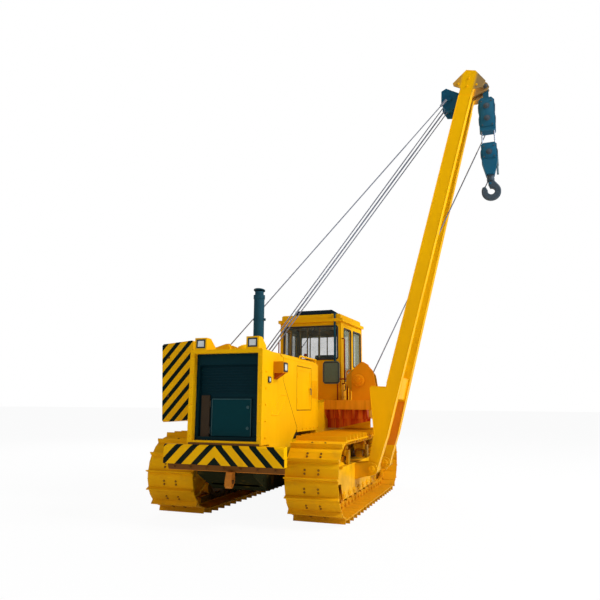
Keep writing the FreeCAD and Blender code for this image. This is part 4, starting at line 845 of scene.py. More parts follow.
stack_blue = enamel("stack_enamel", STACK_BLUE, (0.025, 0.065, 0.085, 1), 0.5)
wear(stack_blue, "exhaust_stack")
bands = [turned((STACK_X, 0, level), (0, 0, 1), [(0, 0.084), (0, 0.089), (0.03, 0.089), (0.03, 0.084)],
                stack_blue, 32) for level in (2.52, 2.95)]
bands += [block((STACK_X - 0.015, 0.083, level - 0.005), (STACK_X + 0.015, 0.115, level + 0.035), 0.004,
                stack_blue) for level in (2.52, 2.95)]
for number in range(6):
    turn = math.pi / 3 * number
    bands += set_out(hex_bolt(0.010, (0, 0, 1), stack_blue),
                     [(STACK_X + 0.11 * math.cos(turn), 0.11 * math.sin(turn), HOOD_TOP + 0.025)])
assemble("stack_bands", bands, "tractor")

# ---------------------------------------------------------------------------------------------------
# Cab and its platform
# A welded cab of folded sheet on a sloping platform, in yellow enamel. Grab rails in red-brown undercoat
# stand beside the doors, and a dark blue breather pipe runs down the front left corner.
# ---------------------------------------------------------------------------------------------------

CAB_FRONT, CAB_REAR = -1.055, -2.35
CAB_FRONT_HALF, CAB_REAR_HALF = 0.642, 0.760
RAIL_X = -1.10
LINING_DRAB = (0.28, 0.24, 0.15, 1)
LOW_FRONT_SHADE_ORANGE = (1.0, 0.40, 0.004, 1)


def cab_side(x):
    """How far out the cab's side wall stands at a place along it."""
    return CAB_FRONT_HALF + (CAB_REAR_HALF - CAB_FRONT_HALF) * (CAB_FRONT - x) / (CAB_FRONT - CAB_REAR)


def wall(side, x, off=0.0):
    """The Y of a place on the cab's side wall, or a little off its face."""
    return side * (cab_side(x) + off)


def cab_lining(tree, colour, x, y, z):
    """Drab lining over the cab's inner faces, and orange painted shade low on its front."""
    side = (CAB_FRONT - x) * ((CAB_REAR_HALF - CAB_FRONT_HALF) / (CAB_FRONT - CAB_REAR)) + CAB_FRONT_HALF
    inside = (x < CAB_FRONT - 0.03) * (x > CAB_REAR + 0.03) * (side - tree.math("ABSOLUTE", y) > 0.03)
    low_front_shade = (x > CAB_FRONT - 0.02) * (z < 2.50) * 0.85
    outside = blended(tree, low_front_shade, colour, LOW_FRONT_SHADE_ORANGE)
    return blended(tree, inside * (z > 1.745) * (z < 3.31), outside, LINING_DRAB)


lined = enamel("lined_cab_enamel", CHROME_YELLOW, CHALKY_YELLOW, 1.0, cab_lining)
wear(yellow, "cab_platform")
wear(lined, "cab_shell")
red_brown = enamel("red_brown_undercoat", (0.30, 0.045, 0.006, 1), (0.20, 0.04, 0.01, 1), 0.5)
rails = []
for side in (1, -1):
    foot, out = wall(side, RAIL_X, -0.01), wall(side, RAIL_X, 0.055)
    rails.append(pipe([(RAIL_X, foot, 2.05), (RAIL_X, out, 2.05), (RAIL_X, out, 2.95), (RAIL_X, foot, 2.95)],
                      0.013, 0.03, red_brown))
rails.append(pipe([(-0.93, 0.60, 1.73), (-0.93, 0.60, 2.14), (-0.93, 0.80, 2.14), (-0.93, 0.80, 1.73)],
                  0.014, 0.04, red_brown))
assemble("grab_rails", rails, "tractor")
assemble("breather_pipe", [pipe([(-1.075, 0.52, 3.455), (-1.030, 0.52, 3.455), (-1.030, 0.52, 2.48),
                                 (-1.060, 0.52, 2.48)], 0.020, 0.03, stack_blue, 14)], "tractor")
seams = [pipe([(x, side * half, 1.76), (x, side * half, 3.28)], 0.009, 0, yellow)
         for side in (1, -1) for x, half in ((CAB_FRONT, CAB_FRONT_HALF), (CAB_REAR, CAB_REAR_HALF))]
seams += set_out(hex_bolt(0.013, (1, 0, 0), yellow), [(CAB_FRONT, y, 1.80) for y in (-0.55, -0.2, 0.2, 0.55)])
assemble("cab_corner_seams", seams, "tractor")

# ---------------------------------------------------------------------------------------------------
# Cab windows
# Tinted safety glass pressed into black rubber channel all round. Behind the front and rear panes stand
# guard bars of painted tube, and a wiper is fixed over the front pane.
# ---------------------------------------------------------------------------------------------------

PANE_TINT = (0.10, 0.15, 0.13, 1)
PANE_DUST = (0.34, 0.38, 0.27, 1)


def tinted_glass(name):
    """A thin tinted pane that shows what is behind it; the side panes are dusty and paler."""
    material, tree, output = new_material(name)
    place, (x, y, z) = place_of(tree)
    film = mottle(tree, place, 3.0)
    side = tree.math("ABSOLUTE", y) > 0.62
    return surfaced(material, tree, output, {
        "Base Color": blended(tree, side, PANE_TINT, PANE_DUST), "Roughness": film * 0.05 + 0.03,
        "Alpha": film * 0.06 + side * 0.33 + 0.12, "IOR": 1.5})


wear(tinted_glass("tinted_glass"), "cab_glass", "cab_door_left_glass", "cab_door_right_glass")
channels = []
for x, half, low, high in ((CAB_FRONT + 0.001, 0.57, 2.54, 3.205), (CAB_REAR - 0.001, 0.64, 2.42, 3.15)):
    channels.append(raised_border([(x, -half, low), (x, half, low), (x, half, high), (x, -half, high)],
                                  0.016, rubber))
for side in (1, -1):
    fore, aft = wall(side, -1.78), wall(side, -2.275)
    channels.append(raised_border([(-2.275, aft, 2.42), (-1.78, fore, 2.42), (-1.78, fore, 3.17),
                                   (-2.275, aft, 3.17)], 0.014, rubber))
channels.append(pipe([(-1.045, 0.10, 3.20), (-1.030, 0.10, 3.16), (-1.030, -0.22, 2.72)], 0.007, 0.01,
                     rubber))
channels.append(block((-1.045, -0.24, 2.62), (-1.032, -0.215, 2.98), 0.004, rubber))
assemble("window_rubbers", channels, "tractor")
bar_tan = enamel("guard_bar_enamel", (0.22, 0.165, 0.065, 1), (0.15, 0.12, 0.06, 1), 0.2)
guard_bars = [pipe([(-1.135, y, 2.50), (-1.135, y, 3.27)], 0.014, 0, bar_tan) for y in (-0.24, -0.09, 0.17)]
guard_bars += [pipe([(-2.27, y, 2.40), (-2.27, y, 3.20)], 0.013, 0, bar_tan)
               for y in (-0.4, -0.2, 0.0, 0.2, 0.4)]
assemble("guard_bars", guard_bars, "tractor")

# ---------------------------------------------------------------------------------------------------
# Cab doors
# Folded sheet doors in yellow enamel, hung at their rear edge on two pin hinges, with a pull handle and
# a window in rubber channel like the cab's.
# ---------------------------------------------------------------------------------------------------

wear(yellow, "cab_door_left", "cab_door_right")
for side, side_name in ((1, "left"), (-1, "right")):
    fore, aft = wall(side, -1.215), wall(side, -1.645)
    parts = [raised_border([(-1.645, aft, 2.11), (-1.215, fore, 2.11), (-1.215, fore, 3.17),
                            (-1.645, aft, 3.17)], 0.012, rubber)]
    parts.append(pipe([(-1.20, wall(side, -1.2, -0.004), 1.93), (-1.20, wall(side, -1.2, 0.035), 1.93),
                       (-1.20, wall(side, -1.2, 0.035), 2.06), (-1.20, wall(side, -1.2, -0.004), 2.06)],
                      0.009, 0.015, rubber))
    parts.append(turned((-1.27, wall(side, -1.27, -0.004), 2.0), (0, side, 0),
                        [(0, 0.02), (0.012, 0.02), (0.016, 0.014)], yellow))
    parts += [turned((-1.69, wall(side, -1.69, 0.001), level), (0, 0, 1), [(-0.06, 0.011), (0.06, 0.011)],
                     yellow, 12) for level in (1.95, 3.05)]
    assemble(f"cab_door_fittings_{side_name}", parts, f"cab_door_{side_name}")

# ---------------------------------------------------------------------------------------------------
# Cab roof
# A pressed lid in yellow enamel with a rolled rain gutter. The cooling unit on it has a dark sheet cover
# with louvres pressed in its left side.
# ---------------------------------------------------------------------------------------------------

ROOF_NAVY = (0.010, 0.020, 0.032, 1)

wear(lined, "cab_roof")
roof_navy = enamel("roof_enamel", ROOF_NAVY, (0.016, 0.024, 0.034, 1), 0.3, shine=0.0)
wear(roof_navy, "roof_unit")
gutter = pipe([(-1.02, 0.680, 3.30), (-2.385, 0.797, 3.30), (-2.385, -0.797, 3.30),
               (-1.02, -0.680, 3.30)], 0.007, 0.02, yellow)
assemble("roof_gutter", [gutter], "tractor")
louvres = set_out(block((-0.02, 0.436, -0.020), (0.02, 0.446, 0.020), 0.004, roof_navy),
                  [(-1.55 + 0.07 * step, 0, 3.49) for step in range(6)])
louvres += set_out(hex_bolt(0.010, (0, 0, 1), roof_navy), [(x, y, 3.545) for x in (-1.55, -1.15)
                                                           for y in (-0.30, 0.40)])
assemble("roof_unit_louvres", louvres, "tractor")

# ---------------------------------------------------------------------------------------------------
# Operator's seat
# Foam cushions in dark woven cloth with a sewn inner panel, on a steel pedestal with a rubber bellows.
# A moulded shell backs it, and a folding armrest stands on each side.
# ---------------------------------------------------------------------------------------------------

CLOTH_WORN = (0.075, 0.078, 0.09, 1)


def woven_cloth(name, colour):
    """Plain weave a few millimetres across, with a soft sheen of worn places."""
    material, tree, output = new_material(name)
    place, (x, y, z) = place_of(tree)
    warp = tree.math("PINGPONG", y, 0.004) * 250
    weft = tree.math("PINGPONG", x + z, 0.004) * 250
    height = warp * 0.5 + weft * 0.5
    worn = mottle(tree, place, 7, 4)
    shade = tree.math("MINIMUM", height * 0.35 + worn * 0.35, 1.0)
    return surfaced(material, tree, output, {
        "Base Color": blended(tree, shade, colour, CLOTH_WORN), "Roughness": worn * -0.08 + 0.9,
        "Normal": tree.node("ShaderNodeBump", inputs={"Strength": 0.5, "Distance": 0.002, "Height": height})})


def cushion(name, low, high, direction, lean=0.0):
    """A crowned cushion: rounded edges, a sewn line inside its border and a panel that swells."""
    direction = Vector(direction)
    piece = block(low, high, 0.035, cloth)
    pick_face(piece, direction)
    for border, rise in ((0.020, 0.004), (0.008, -0.008), (0.008, 0.010), (0.035, 0.008), (0.045, 0.004)):
        bpy.ops.mesh.inset(thickness=border)
        bpy.ops.transform.translate(value=direction * rise)
    bpy.ops.object.mode_set(mode="OBJECT")
    if lean:
        foot = (Vector(low) + Vector(high)) / 2
        foot.z = low[2]
        bpy.ops.object.mode_set(mode="EDIT")
        bpy.ops.mesh.select_all(action="SELECT")
        bpy.ops.transform.rotate(value=lean, orient_axis="Y", center_override=foot)
        bpy.ops.object.mode_set(mode="OBJECT")
    rounded = piece.modifiers.new("rounded", "SUBSURF")
    rounded.levels = rounded.render_levels = 2
    bpy.ops.object.modifier_apply(modifier="rounded")
    assemble(name, [piece], "tractor")


cloth = woven_cloth("woven_cloth", (0.030, 0.032, 0.038, 1))
moulding = plain_stuff("black_moulding", (0.025, 0.026, 0.028, 1), 0.42, bumpy=0.002)
cushion("seat_cushion", (-1.99, -0.24, 2.19), (-1.51, 0.24, 2.295), (0, 0, 1))
cushion("seat_back", (-2.09, -0.23, 2.32), (-1.985, 0.23, 2.72), (1, 0, 0), math.radians(9))
base = [block((-2.05, -0.17, 1.80), (-1.65, 0.17, 1.86), 0.008, moulding),
        turned((-1.85, 0, 1.86), (0, 0, 1), [(0, 0.15), (0.035, 0.12), (0.07, 0.155), (0.105, 0.12),
                                             (0.14, 0.155), (0.175, 0.12), (0.21, 0.155), (0.245, 0.12),
                                             (0.27, 0.15)], rubber, 28),
        block((-2.04, -0.20, 2.128), (-1.56, 0.20, 2.188), 0.01, moulding),
        block((-2.175, -0.10, 2.20), (-2.13, 0.10, 2.60), 0.01, moulding)]
base += [block((-2.02, side * 0.235 - 0.02, 2.44), (-1.66, side * 0.235 + 0.02, 2.475), 0.012, moulding)
         for side in (1, -1)]
assemble("seat_base", base, "tractor", ["operator_seat"])

# ---------------------------------------------------------------------------------------------------
# Controls
# Two moulded stands beside the seat with levers that end in round knobs, one of them red, and a dash
# with three dials and two pedals below it.
# ---------------------------------------------------------------------------------------------------

wear(moulding, "control_stands")
chrome = plain_stuff("hard_chrome", (0.72, 0.73, 0.74, 1), 0.1, 1.0, grain=12)
red_knob = plain_stuff("red_knob", (0.45, 0.012, 0.010, 1), 0.3)
dial_face = plain_stuff("dial_face", (0.55, 0.57, 0.56, 1), 0.35, grain=120)
levers = []
for number, (x, y) in enumerate(((-1.56, 0.43), (-1.66, 0.43), (-1.56, -0.43), (-1.66, -0.40),
                                 (-1.66, -0.47))):
    levers.append(pipe([(x, y, 2.325), (x + 0.02, y, 2.48)], 0.007, 0, chrome))
    levers.append(turned((x + 0.02, y, 2.47), (0.1, 0, 1), [(0, 0.010), (0.012, 0.022), (0.03, 0.026),
                                                            (0.046, 0.020), (0.052, 0.008)],
                         red_knob if number == 0 else moulding, 16))
levers.append(pipe([(-1.205, -0.155, 2.30), (-1.205, -0.155, 2.62)], 0.009, 0, chrome))
levers.append(turned((-1.205, -0.155, 2.61), (0, 0, 1), [(0, 0.012), (0.014, 0.030), (0.036, 0.036),
                                                         (0.056, 0.026), (0.064, 0.010)], red_knob, 16))
for y in (-0.16, 0.0, 0.16):
    levers.append(turned((-1.242, y, 2.284), (-0.6, 0, 0.8), [(0, 0.045), (0.010, 0.045), (0.010, 0.038),
                                                              (0.006, 0.038)], dial_face, 24))
levers += [sunk(block((-1.36, y - 0.05, 1.83), (-1.335, y + 0.05, 1.95), 0.006, rubber), (-1, 0, 0),
                0.012, 0.004) for y in (-0.15, 0.15)]
assemble("levers_and_dials", levers, "tractor")

# ---------------------------------------------------------------------------------------------------
# Cab mirror
# A moulded dark green-grey housing on an arm at the cab's front left corner, with a black rim round it
# and silvered glass facing the operator.
# ---------------------------------------------------------------------------------------------------

mirror_shell = plain_stuff("mirror_shell", (0.080, 0.110, 0.055, 1), 0.4, bumpy=0.001)
wear(mirror_shell, "cab_mirror")
rim_line = [(-0.918, 0.325, 2.07), (-0.918, 0.62, 2.07), (-0.918, 0.62, 2.465), (-0.918, 0.325, 2.465)]
mirror_parts = [raised_border(rim_line, 0.010, rubber),
                sunk(block((-0.965, 0.33, 2.08), (-0.955, 0.615, 2.455), 0.003, rubber), (-1, 0, 0),
                     0.012, 0.002, chrome)]
assemble("mirror_rim", mirror_parts, "tractor")

# ---------------------------------------------------------------------------------------------------
# Decks over the tracks
# Boxes of folded plate with lockers, in yellow enamel, with red-brown painted shade under the left deck's
# front.
# Grip strips are welded on the walkways, each locker lid has two hinges and a latch, and a bolted apron
# keeps mud off the left deck's front.
# ---------------------------------------------------------------------------------------------------

DECK_TOP = 1.73
DECK_FRONT, FASCIA_BACK = -0.372, -0.56      # the left deck's front edge, and the back of its folded face
APRON_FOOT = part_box("track_left")[1][2] + 0.02
SHADE_RED, SHADE_RED_STREAKS = (1.0, 0.25, 0.030, 1), (0.62, 0.045, 0.010, 1)




# Painted shade in red-brown, under the left deck's front and on its apron.
def undercoat(tree):
    """Bright red-brown painted shade with darker streaks."""
    runs = tree.node("ShaderNodeMapping", inputs={"Vector": place_of(tree)[0], "Scale": (2, 16, 1.2)})
    return blended(tree, mottle(tree, runs, 1.0, 4, 0.42, 0.62), SHADE_RED, SHADE_RED_STREAKS)


def deck_red_shade(tree, colour, x, y, z):
    """Red-brown painted shade on the underside of the plates and along the front edge's foot."""
    under = (z < DECK_TOP - 0.03) * (x > FASCIA_BACK) * (x < DECK_FRONT)
    edge = (x > FASCIA_BACK) * 0.38
    return blended(tree, tree.math("MAXIMUM", under * 0.95, edge), colour, undercoat(tree))


def apron_red_shade(tree, colour, x, y, z):
    """Red-brown painted shade on the apron, but for its lower outer corner."""
    return blended(tree, (z - y * 0.22 > 1.235 - 0.22 * 0.75) * 0.95, colour, undercoat(tree))


wear(enamel("left_deck_enamel", CHROME_YELLOW, CHALKY_YELLOW, 1.0, deck_red_shade), "left_deck")
wear(yellow, "right_deck")
# The apron carries the red-brown painted shade too.
apron_paint = enamel("apron_enamel", CHROME_YELLOW, CHALKY_YELLOW, 0.4, apron_red_shade)
apron = [block((-0.592, 0.435, APRON_FOOT), (-0.580, 1.315, 1.43), 0.004, apron_paint),
         block((-0.586, 0.435, APRON_FOOT), (-0.560, 1.315, APRON_FOOT + 0.012), 0.004, apron_paint)]
apron += set_out(hex_bolt(0.013, (1, 0, 0), apron_paint), [(-0.580, 0.55 + 0.16 * step, 1.40)
                                                           for step in range(5)])
assemble("deck_apron", apron, "tractor")
grips = set_out(block((-0.05, -0.006, -0.003), (0.05, 0.006, 0.004), 0.002, yellow),
                [(-2.2 + 0.15 * column, 0.84 + 0.07 * row, DECK_TOP) for column in range(7)
                 for row in range(7)])
grips += set_out(block((-0.05, -0.006, -0.003), (0.05, 0.006, 0.004), 0.002, yellow),
                 [(-2.2 + 0.15 * column, -0.84 - 0.07 * row, DECK_TOP) for column in range(7)
                  for row in range(8)])
assemble("deck_grips", grips, "tractor")
lids = []
for side, fronts in ((1, (-0.62, -1.18, -1.74)), (-1, (-1.38, -1.86))):
    for fore in fronts:
        out = side * 1.29
        low, high = bedded(out, side, 0.004, 0.012)
        lids.append(sunk(block((fore - 0.48, low, 1.425), (fore, high, 1.655), 0.005, yellow),
                         (0, side, 0), 0.03, 0.005))
        lids += [turned((fore - 0.24 + shift, out + side * 0.012, 1.655), (1, 0, 0),
                        [(-0.04, 0.009), (0.04, 0.009)], yellow, 10) for shift in (-0.15, 0.15)]
        lids.append(turned((fore - 0.24, out + side * 0.008, 1.45), (0, side, 0),
                           [(0, 0.016), (0.012, 0.016), (0.015, 0.010)], yellow, 16))
assemble("locker_lids", lids, "tractor")

# ---------------------------------------------------------------------------------------------------
# Fuel tank
# A folded and welded tank across the rear in yellow enamel, held by two straps, with a filler neck and
# cap on top, a sight gauge and two steps. A tail lamp hangs at each upper corner.
# ---------------------------------------------------------------------------------------------------

TANK_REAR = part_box("fuel_tank")[0][0]
TANK_TOP = 2.33
STRAP_OUT, GAUGE_HALF = 0.45, 0.02      # the straps' place and half the gauge's width
STRAP_EDGE = (0.20, 0.085, 0.010, 1)
GAUGE_DARK = (0.05, 0.06, 0.06, 1)


def strap_lines(tree, colour, x, y, z):
    """Two straps welded flush in the rear face, with bare edges, and the sight gauge's slot."""
    off_strap = tree.math("ABSOLUTE", tree.math("ABSOLUTE", y) - STRAP_OUT)
    edge = (off_strap < 0.036) * (off_strap > 0.030)
    slot = (tree.math("ABSOLUTE", y) < GAUGE_HALF) * (z > 1.45) * (z < 1.95) * (x < TANK_REAR + 0.01)
    return blended(tree, slot, blended(tree, edge, colour, STRAP_EDGE), GAUGE_DARK)


wear(enamel("tank_enamel", CHROME_YELLOW, CHALKY_YELLOW, 1.0, strap_lines), "fuel_tank")
tank_parts = [turned((-2.45, 0.42, TANK_TOP), (0, 0, 1), [(-0.01, 0.060), (0.04, 0.060), (0.04, 0.070),
                                                          (0.075, 0.070), (0.085, 0.060)], yellow, 24)]
tank_parts += [block((-2.53, y - 0.03, TANK_TOP - 0.004), (-2.37, y + 0.03, TANK_TOP + 0.005), 0.002, yellow)
               for y in (-STRAP_OUT, STRAP_OUT)]
tank_parts += [sunk(block((-2.62, side * 0.735 - 0.02, z),
                          (-2.42, side * 0.735 + 0.03 * (side > 0) + 0.02, z + 0.03), 0.006, yellow),
                    (0, 0, 1), 0.01, 0.004) for side in (1, -1) for z in (1.35, 1.65)]
assemble("tank_fittings", tank_parts, "tractor")
tail_lamps = []
for y in (-0.62, 0.62):
    tail_lamps.append(sunk(block((-2.575, y - 0.06, 2.235), (-2.50, y + 0.06, 2.32), 0.006, rubber),
                           (-1, 0, 0), 0.012, 0.004, lens_glass))
assemble("tail_lamps", tail_lamps, "tractor")

# ---------------------------------------------------------------------------------------------------
# Load winch
# A drum between two cheek plates on the left deck, driven by a motor at its rear. Greased wire rope is
# wound on the drum in a close layer; the bearings are bolted to the enamelled cheeks.
# ---------------------------------------------------------------------------------------------------

ROPE_GREY = (0.36, 0.40, 0.50, 1)
ROPE_DARK = (0.13, 0.15, 0.20, 1)
WHEEL_STEEL = (0.055, 0.080, 0.105, 1)
ROPE_RADIUS = 0.011


def wire_rope(name, lean, wheel=None):
    """Strands that wind round a rope which leans outwards by an angle from plumb.
    A wheel at its end, given as its centre in Y and Z and its radius, is dark steel."""
    material, tree, output = new_material(name)
    place, (x, y, z) = place_of(tree)
    upright = tree.node("ShaderNodeMapping", inputs={"Vector": place, "Rotation": (lean, 0, 0)})
    across, out, up = [Shade(tree.tree, tree.node("ShaderNodeSeparateXYZ", inputs={0: upright})
                             .socket.node.outputs[axis]) for axis in range(3)]
    strand = tree.math("PINGPONG", up + (across + out) * 1.3, ROPE_RADIUS) * (1 / ROPE_RADIUS)
    colour = blended(tree, strand, ROPE_DARK, ROPE_GREY)
    if wheel:
        off_y, off_z = y - wheel[0], z - wheel[1]
        colour = blended(tree, (off_y * off_y + off_z * off_z) < wheel[2] ** 2, colour, WHEEL_STEEL)
    return surfaced(material, tree, output, {
        "Base Color": colour, "Metallic": 0.55, "Roughness": strand * -0.15 + 0.5})


def wound_layer(axis_place, start, end, radius, finish):
    """A close layer of rope on a drum: a round section wound as a screw along the drum's axis."""
    turns = int((end - start) / (2 * ROPE_RADIUS)) - 1
    bpy.ops.object.select_all(action="DESELECT")
    bpy.ops.mesh.primitive_circle_add(vertices=8, radius=ROPE_RADIUS,
                                      location=(start + ROPE_RADIUS, radius, 0))
    layer = bpy.context.object
    bpy.ops.object.transform_apply(location=True, rotation=True, scale=True)
    winding = layer.modifiers.new("winding", "SCREW")
    winding.axis = "X"
    winding.angle = 2 * math.pi
    winding.screw_offset = 2 * ROPE_RADIUS
    winding.iterations = turns
    winding.steps = winding.render_steps = 40
    bpy.ops.object.modifier_apply(modifier="winding")
    bpy.ops.object.mode_set(mode="EDIT")
    bpy.ops.mesh.select_all(action="DESELECT")
    bpy.ops.mesh.select_mode(type="EDGE")
    bpy.ops.mesh.select_non_manifold()
    bpy.ops.mesh.edge_face_add()
    layer = closed_up(finish)
    layer.location = (0, *axis_place)
    return layer


HOIST = (1.14, 2.08)
plumb_rope = wire_rope("plumb_rope", 0)
drum_enamel = enamel("drum_enamel", (0.70, 0.33, 0.004, 1), (0.40, 0.20, 0.03, 1), 0.4)
# The winch frame and its fittings are painted orange, the yellow enamel as it looks in shade.
orange = enamel("winch_shade_enamel", (0.86, 0.30, 0.003, 1), (0.74, 0.26, 0.004, 1))
wear(orange, "load_winch_frame")
wear(drum_enamel, "load_winch_drum")
assemble("load_drum_rope", [wound_layer(HOIST, -0.928, -0.440, 0.152 + ROPE_RADIUS * 0.8, plumb_rope)],
         "load_drum")
winch_parts = [turned((-0.366, *HOIST), (1, 0, 0), [(-0.006, 0.115), (0.006, 0.115), (0.012, 0.105),
                                                    (0.012, 0.05), (0.024, 0.045)], orange, 32)]
winch_parts += bolt_ring((-0.354, *HOIST), (1, 0, 0), 0.085, 8, 0.011, orange)
winch_parts += bolt_ring((-0.98, *HOIST), (-1, 0, 0), 0.155, 8, 0.012, orange)
winch_parts.append(pipe([(-0.404, 1.06, 2.300), (-0.404, 1.211, 2.424), (-0.404, 1.33, 2.352)], 0.012,
                        0.05, orange))
for x, start, level, y in ((-1.12, 2.17, 2.26, 0.80), (-1.08, 2.20, 2.31, 0.75)):
    winch_parts.append(pipe([(x, HOIST[0], start), (x, HOIST[0], level), (x, y, level), (x, y, 1.74)],
                            0.016, 0.05, orange))
assemble("load_winch_fittings", winch_parts, "tractor")

# ---------------------------------------------------------------------------------------------------
# Right-hand frame and boom winch
# Welded plates on a pedestal bolted to the hull carry the boom winch, the lower sheave block and the
# counterweight's pins. Each pin is held by a keeper; plate edges are ground smooth.
# ---------------------------------------------------------------------------------------------------

WINCH = (-0.84, 2.02)
LEVER_ROOT = (-1.08, 1.56)
LINK_ROOT = (-0.86, 1.84)

wear(yellow, "right_frame")
wear(drum_enamel, "boom_winch_drum")
assemble("boom_drum_rope", [wound_layer(WINCH, -0.087, 0.296, 0.190 + ROPE_RADIUS * 0.8, plumb_rope)],
         "boom_drum")
frame_parts = []
for x, facing in ((0.455, 1), (-0.955, -1)):
    frame_parts.append(turned((x, *LEVER_ROOT), (facing, 0, 0), [(-0.004, 0.050), (0.010, 0.050),
                                                                 (0.015, 0.042)], yellow))
for x, facing in ((0.54, 1), (-1.04, -1)):
    frame_parts.append(turned((x, *LINK_ROOT), (facing, 0, 0), [(-0.004, 0.036), (0.010, 0.036),
                                                                (0.014, 0.028)], yellow))
frame_parts.append(turned((0.345, *WINCH), (1, 0, 0), [(-0.004, 0.12), (0.010, 0.12), (0.018, 0.105),
                                                       (0.018, 0.06), (0.05, 0.055)], yellow, 32))
frame_parts += bolt_ring((0.357, *WINCH), (1, 0, 0), 0.09, 8, 0.011, yellow)
frame_parts += set_out(hex_bolt(0.016, (0, 0, 1), yellow),
                       [(-0.78 + 0.22 * step, y, 1.44) for step in range(6) for y in (-1.06, -0.62)])
frame_parts.append(turned((0.0, -1.28, 2.62), (1, 0, 0), [(-0.003, 0.045), (0.012, 0.045),
                                                          (0.018, 0.036)], yellow))
assemble("right_frame_fittings", frame_parts, "tractor")

# ---------------------------------------------------------------------------------------------------
# Counterweight
# Cast slabs bolted to a front plate and carriers, striped down the front edge, hung on two levers and two
# lighter links. Tie rods run right through the slabs, and two lifting eyes stand on top.
# ---------------------------------------------------------------------------------------------------

WEIGHT_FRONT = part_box("counterweight")[1][0]
WEIGHT_FOOT, WEIGHT_CREST = (1.842, 1.36), (1.912, 2.625)      # its outer face, out and up


def weight_stripes(tree, colour, x, y, z):
    """Slanting bands up the counterweight's front edge, a little way round its corners."""
    phase = tree.math("FRACT", (z - y * 1.12) * (1 / STRIPE_PITCH) + 0.36)
    dark = (phase < 0.43) * (x > WEIGHT_FRONT - 0.012)
    return blended(tree, dark, colour, STRIPE_BLACK)


wear(enamel("striped_weight", CHROME_YELLOW, CHALKY_YELLOW, 0.7, weight_stripes), "counterweight")
wear(yellow, "counterweight_levers", "counterweight_links")
weight_parts = set_out(hex_bolt(0.020, (-1, 0, 0), yellow), [(-1.0, y, z)
                                                             for y, z in ((-1.62, 1.55), (-1.60, 2.05),
                                                                          (-1.65, 2.50), (-1.78, 1.8))])
weight_parts += set_out(hex_bolt(0.017, (1, 0, 0), primer_and_shade), [(WEIGHT_FRONT, -1.77, 2.42),
                                                             (WEIGHT_FRONT, -1.75, 1.77)])
weight_parts.append(block((WEIGHT_FRONT - 0.004, -1.83, 2.00), (WEIGHT_FRONT - 0.0005, -1.74, 2.12),
                          0.001, yellow))
for x in (-0.7, 0.95):
    weight_parts.append(pipe([(x - 0.06, -1.72, 2.655), (x - 0.06, -1.72, 2.715), (x + 0.06, -1.72, 2.715),
                              (x + 0.06, -1.72, 2.655)], 0.013, 0.035, yellow))
lean_out = (WEIGHT_CREST[0] - WEIGHT_FOOT[0]) / (WEIGHT_CREST[1] - WEIGHT_FOOT[1])
for x in (-0.75, -0.12, 0.48, 1.08):
    for z in (1.50, 1.88, 2.24):
        y = 0.011 - WEIGHT_FOOT[0] - (z - WEIGHT_FOOT[1]) * lean_out
        weight_parts += set_out(hex_bolt(0.022, (0, -1, 0), yellow), [(x, y, z)])
assemble("counterweight_bolts", weight_parts, "counterweight")

# ---------------------------------------------------------------------------------------------------
# Counterweight cylinder
# A welded barrel in yellow enamel with a gland ring, and a hard-chromed rod. Rigid oil pipes are clipped
# along the barrel.
# ---------------------------------------------------------------------------------------------------

BARREL_ROOT = Vector((-0.31, -0.62, 1.60))
BARREL_ALONG = Vector((0, -0.816487, 0.577363))

wear(yellow, "counterweight_cylinder")
wear(chrome, "counterweight_rod")
barrel_up = Vector((0, BARREL_ALONG.z, -BARREL_ALONG.y))
lines = [turned(BARREL_ROOT, BARREL_ALONG, [(0.375, 0.054), (0.375, 0.0605), (0.378, 0.0605),
                                            (0.378, 0.054)], yellow, 28, True)]
lines += [turned(BARREL_ROOT, BARREL_ALONG, [(place, 0.054), (place, 0.060), (place + 0.02, 0.060),
                                             (place + 0.02, 0.054)], stack_blue, 28, True)
          for place in (0.15, 0.28)]
for shift in (-0.018, 0.018):
    side = Vector((shift, 0, 0))
    lines.append(pipe([BARREL_ROOT + BARREL_ALONG * 0.12 + barrel_up * 0.05 + side,
                       BARREL_ROOT + BARREL_ALONG * 0.12 + barrel_up * 0.066 + side,
                       BARREL_ROOT + BARREL_ALONG * 0.345 + barrel_up * 0.066 + side,
                       BARREL_ROOT + BARREL_ALONG * 0.345 + barrel_up * 0.05 + side], 0.006, 0.008,
                      stack_blue, 8))
assemble("cylinder_pipes", lines, "cylinder_barrel")

# ---------------------------------------------------------------------------------------------------
# Boom legs and cross tie
# An A-frame of box beams welded from plate in yellow enamel. A weld runs down each corner of each beam,
# the front leg has a deep gusset above its foot, and a box tie joins the legs low down.
# ---------------------------------------------------------------------------------------------------

BOOM_LEAN = math.radians(14.8)
BOOM_LENGTH = 7.262
HEAD_SPREAD = 0.19             # half the distance between the legs at the head
LEG_HALF_WIDTH, LEG_HALF_DEPTH = 0.10, 0.1075
LEG_SHADE_RED = (0.75, 0.17, 0.010, 1)


def boom_point(across, out, up):
    """A point of the machine, from places across the boom, out from its middle line and up its length."""
    return Vector((BOOM_X + across, BOOM_FOOT[0] + out * math.cos(BOOM_LEAN) + up * math.sin(BOOM_LEAN),
                   BOOM_FOOT[1] - out * math.sin(BOOM_LEAN) + up * math.cos(BOOM_LEAN)))


def leg_middle(up):
    """How far a leg's middle stands from the boom's, at a height up it."""
    return FOOT_SPREAD - (FOOT_SPREAD - HEAD_SPREAD) * up / BOOM_LENGTH


def rear_leg_shade(tree, colour, x, y, z):
    """Red-brown painted shade low on the rear leg's front face."""
    rise = z - BOOM_FOOT[1]
    inwards = rise * ((FOOT_SPREAD - HEAD_SPREAD) / BOOM_LENGTH)
    face = inwards + (BOOM_X - FOOT_SPREAD + LEG_HALF_WIDTH - 0.008)
    return blended(tree, (x - face > 0) * (z > 0.93) * (z < 1.71) * 0.8, colour, LEG_SHADE_RED)


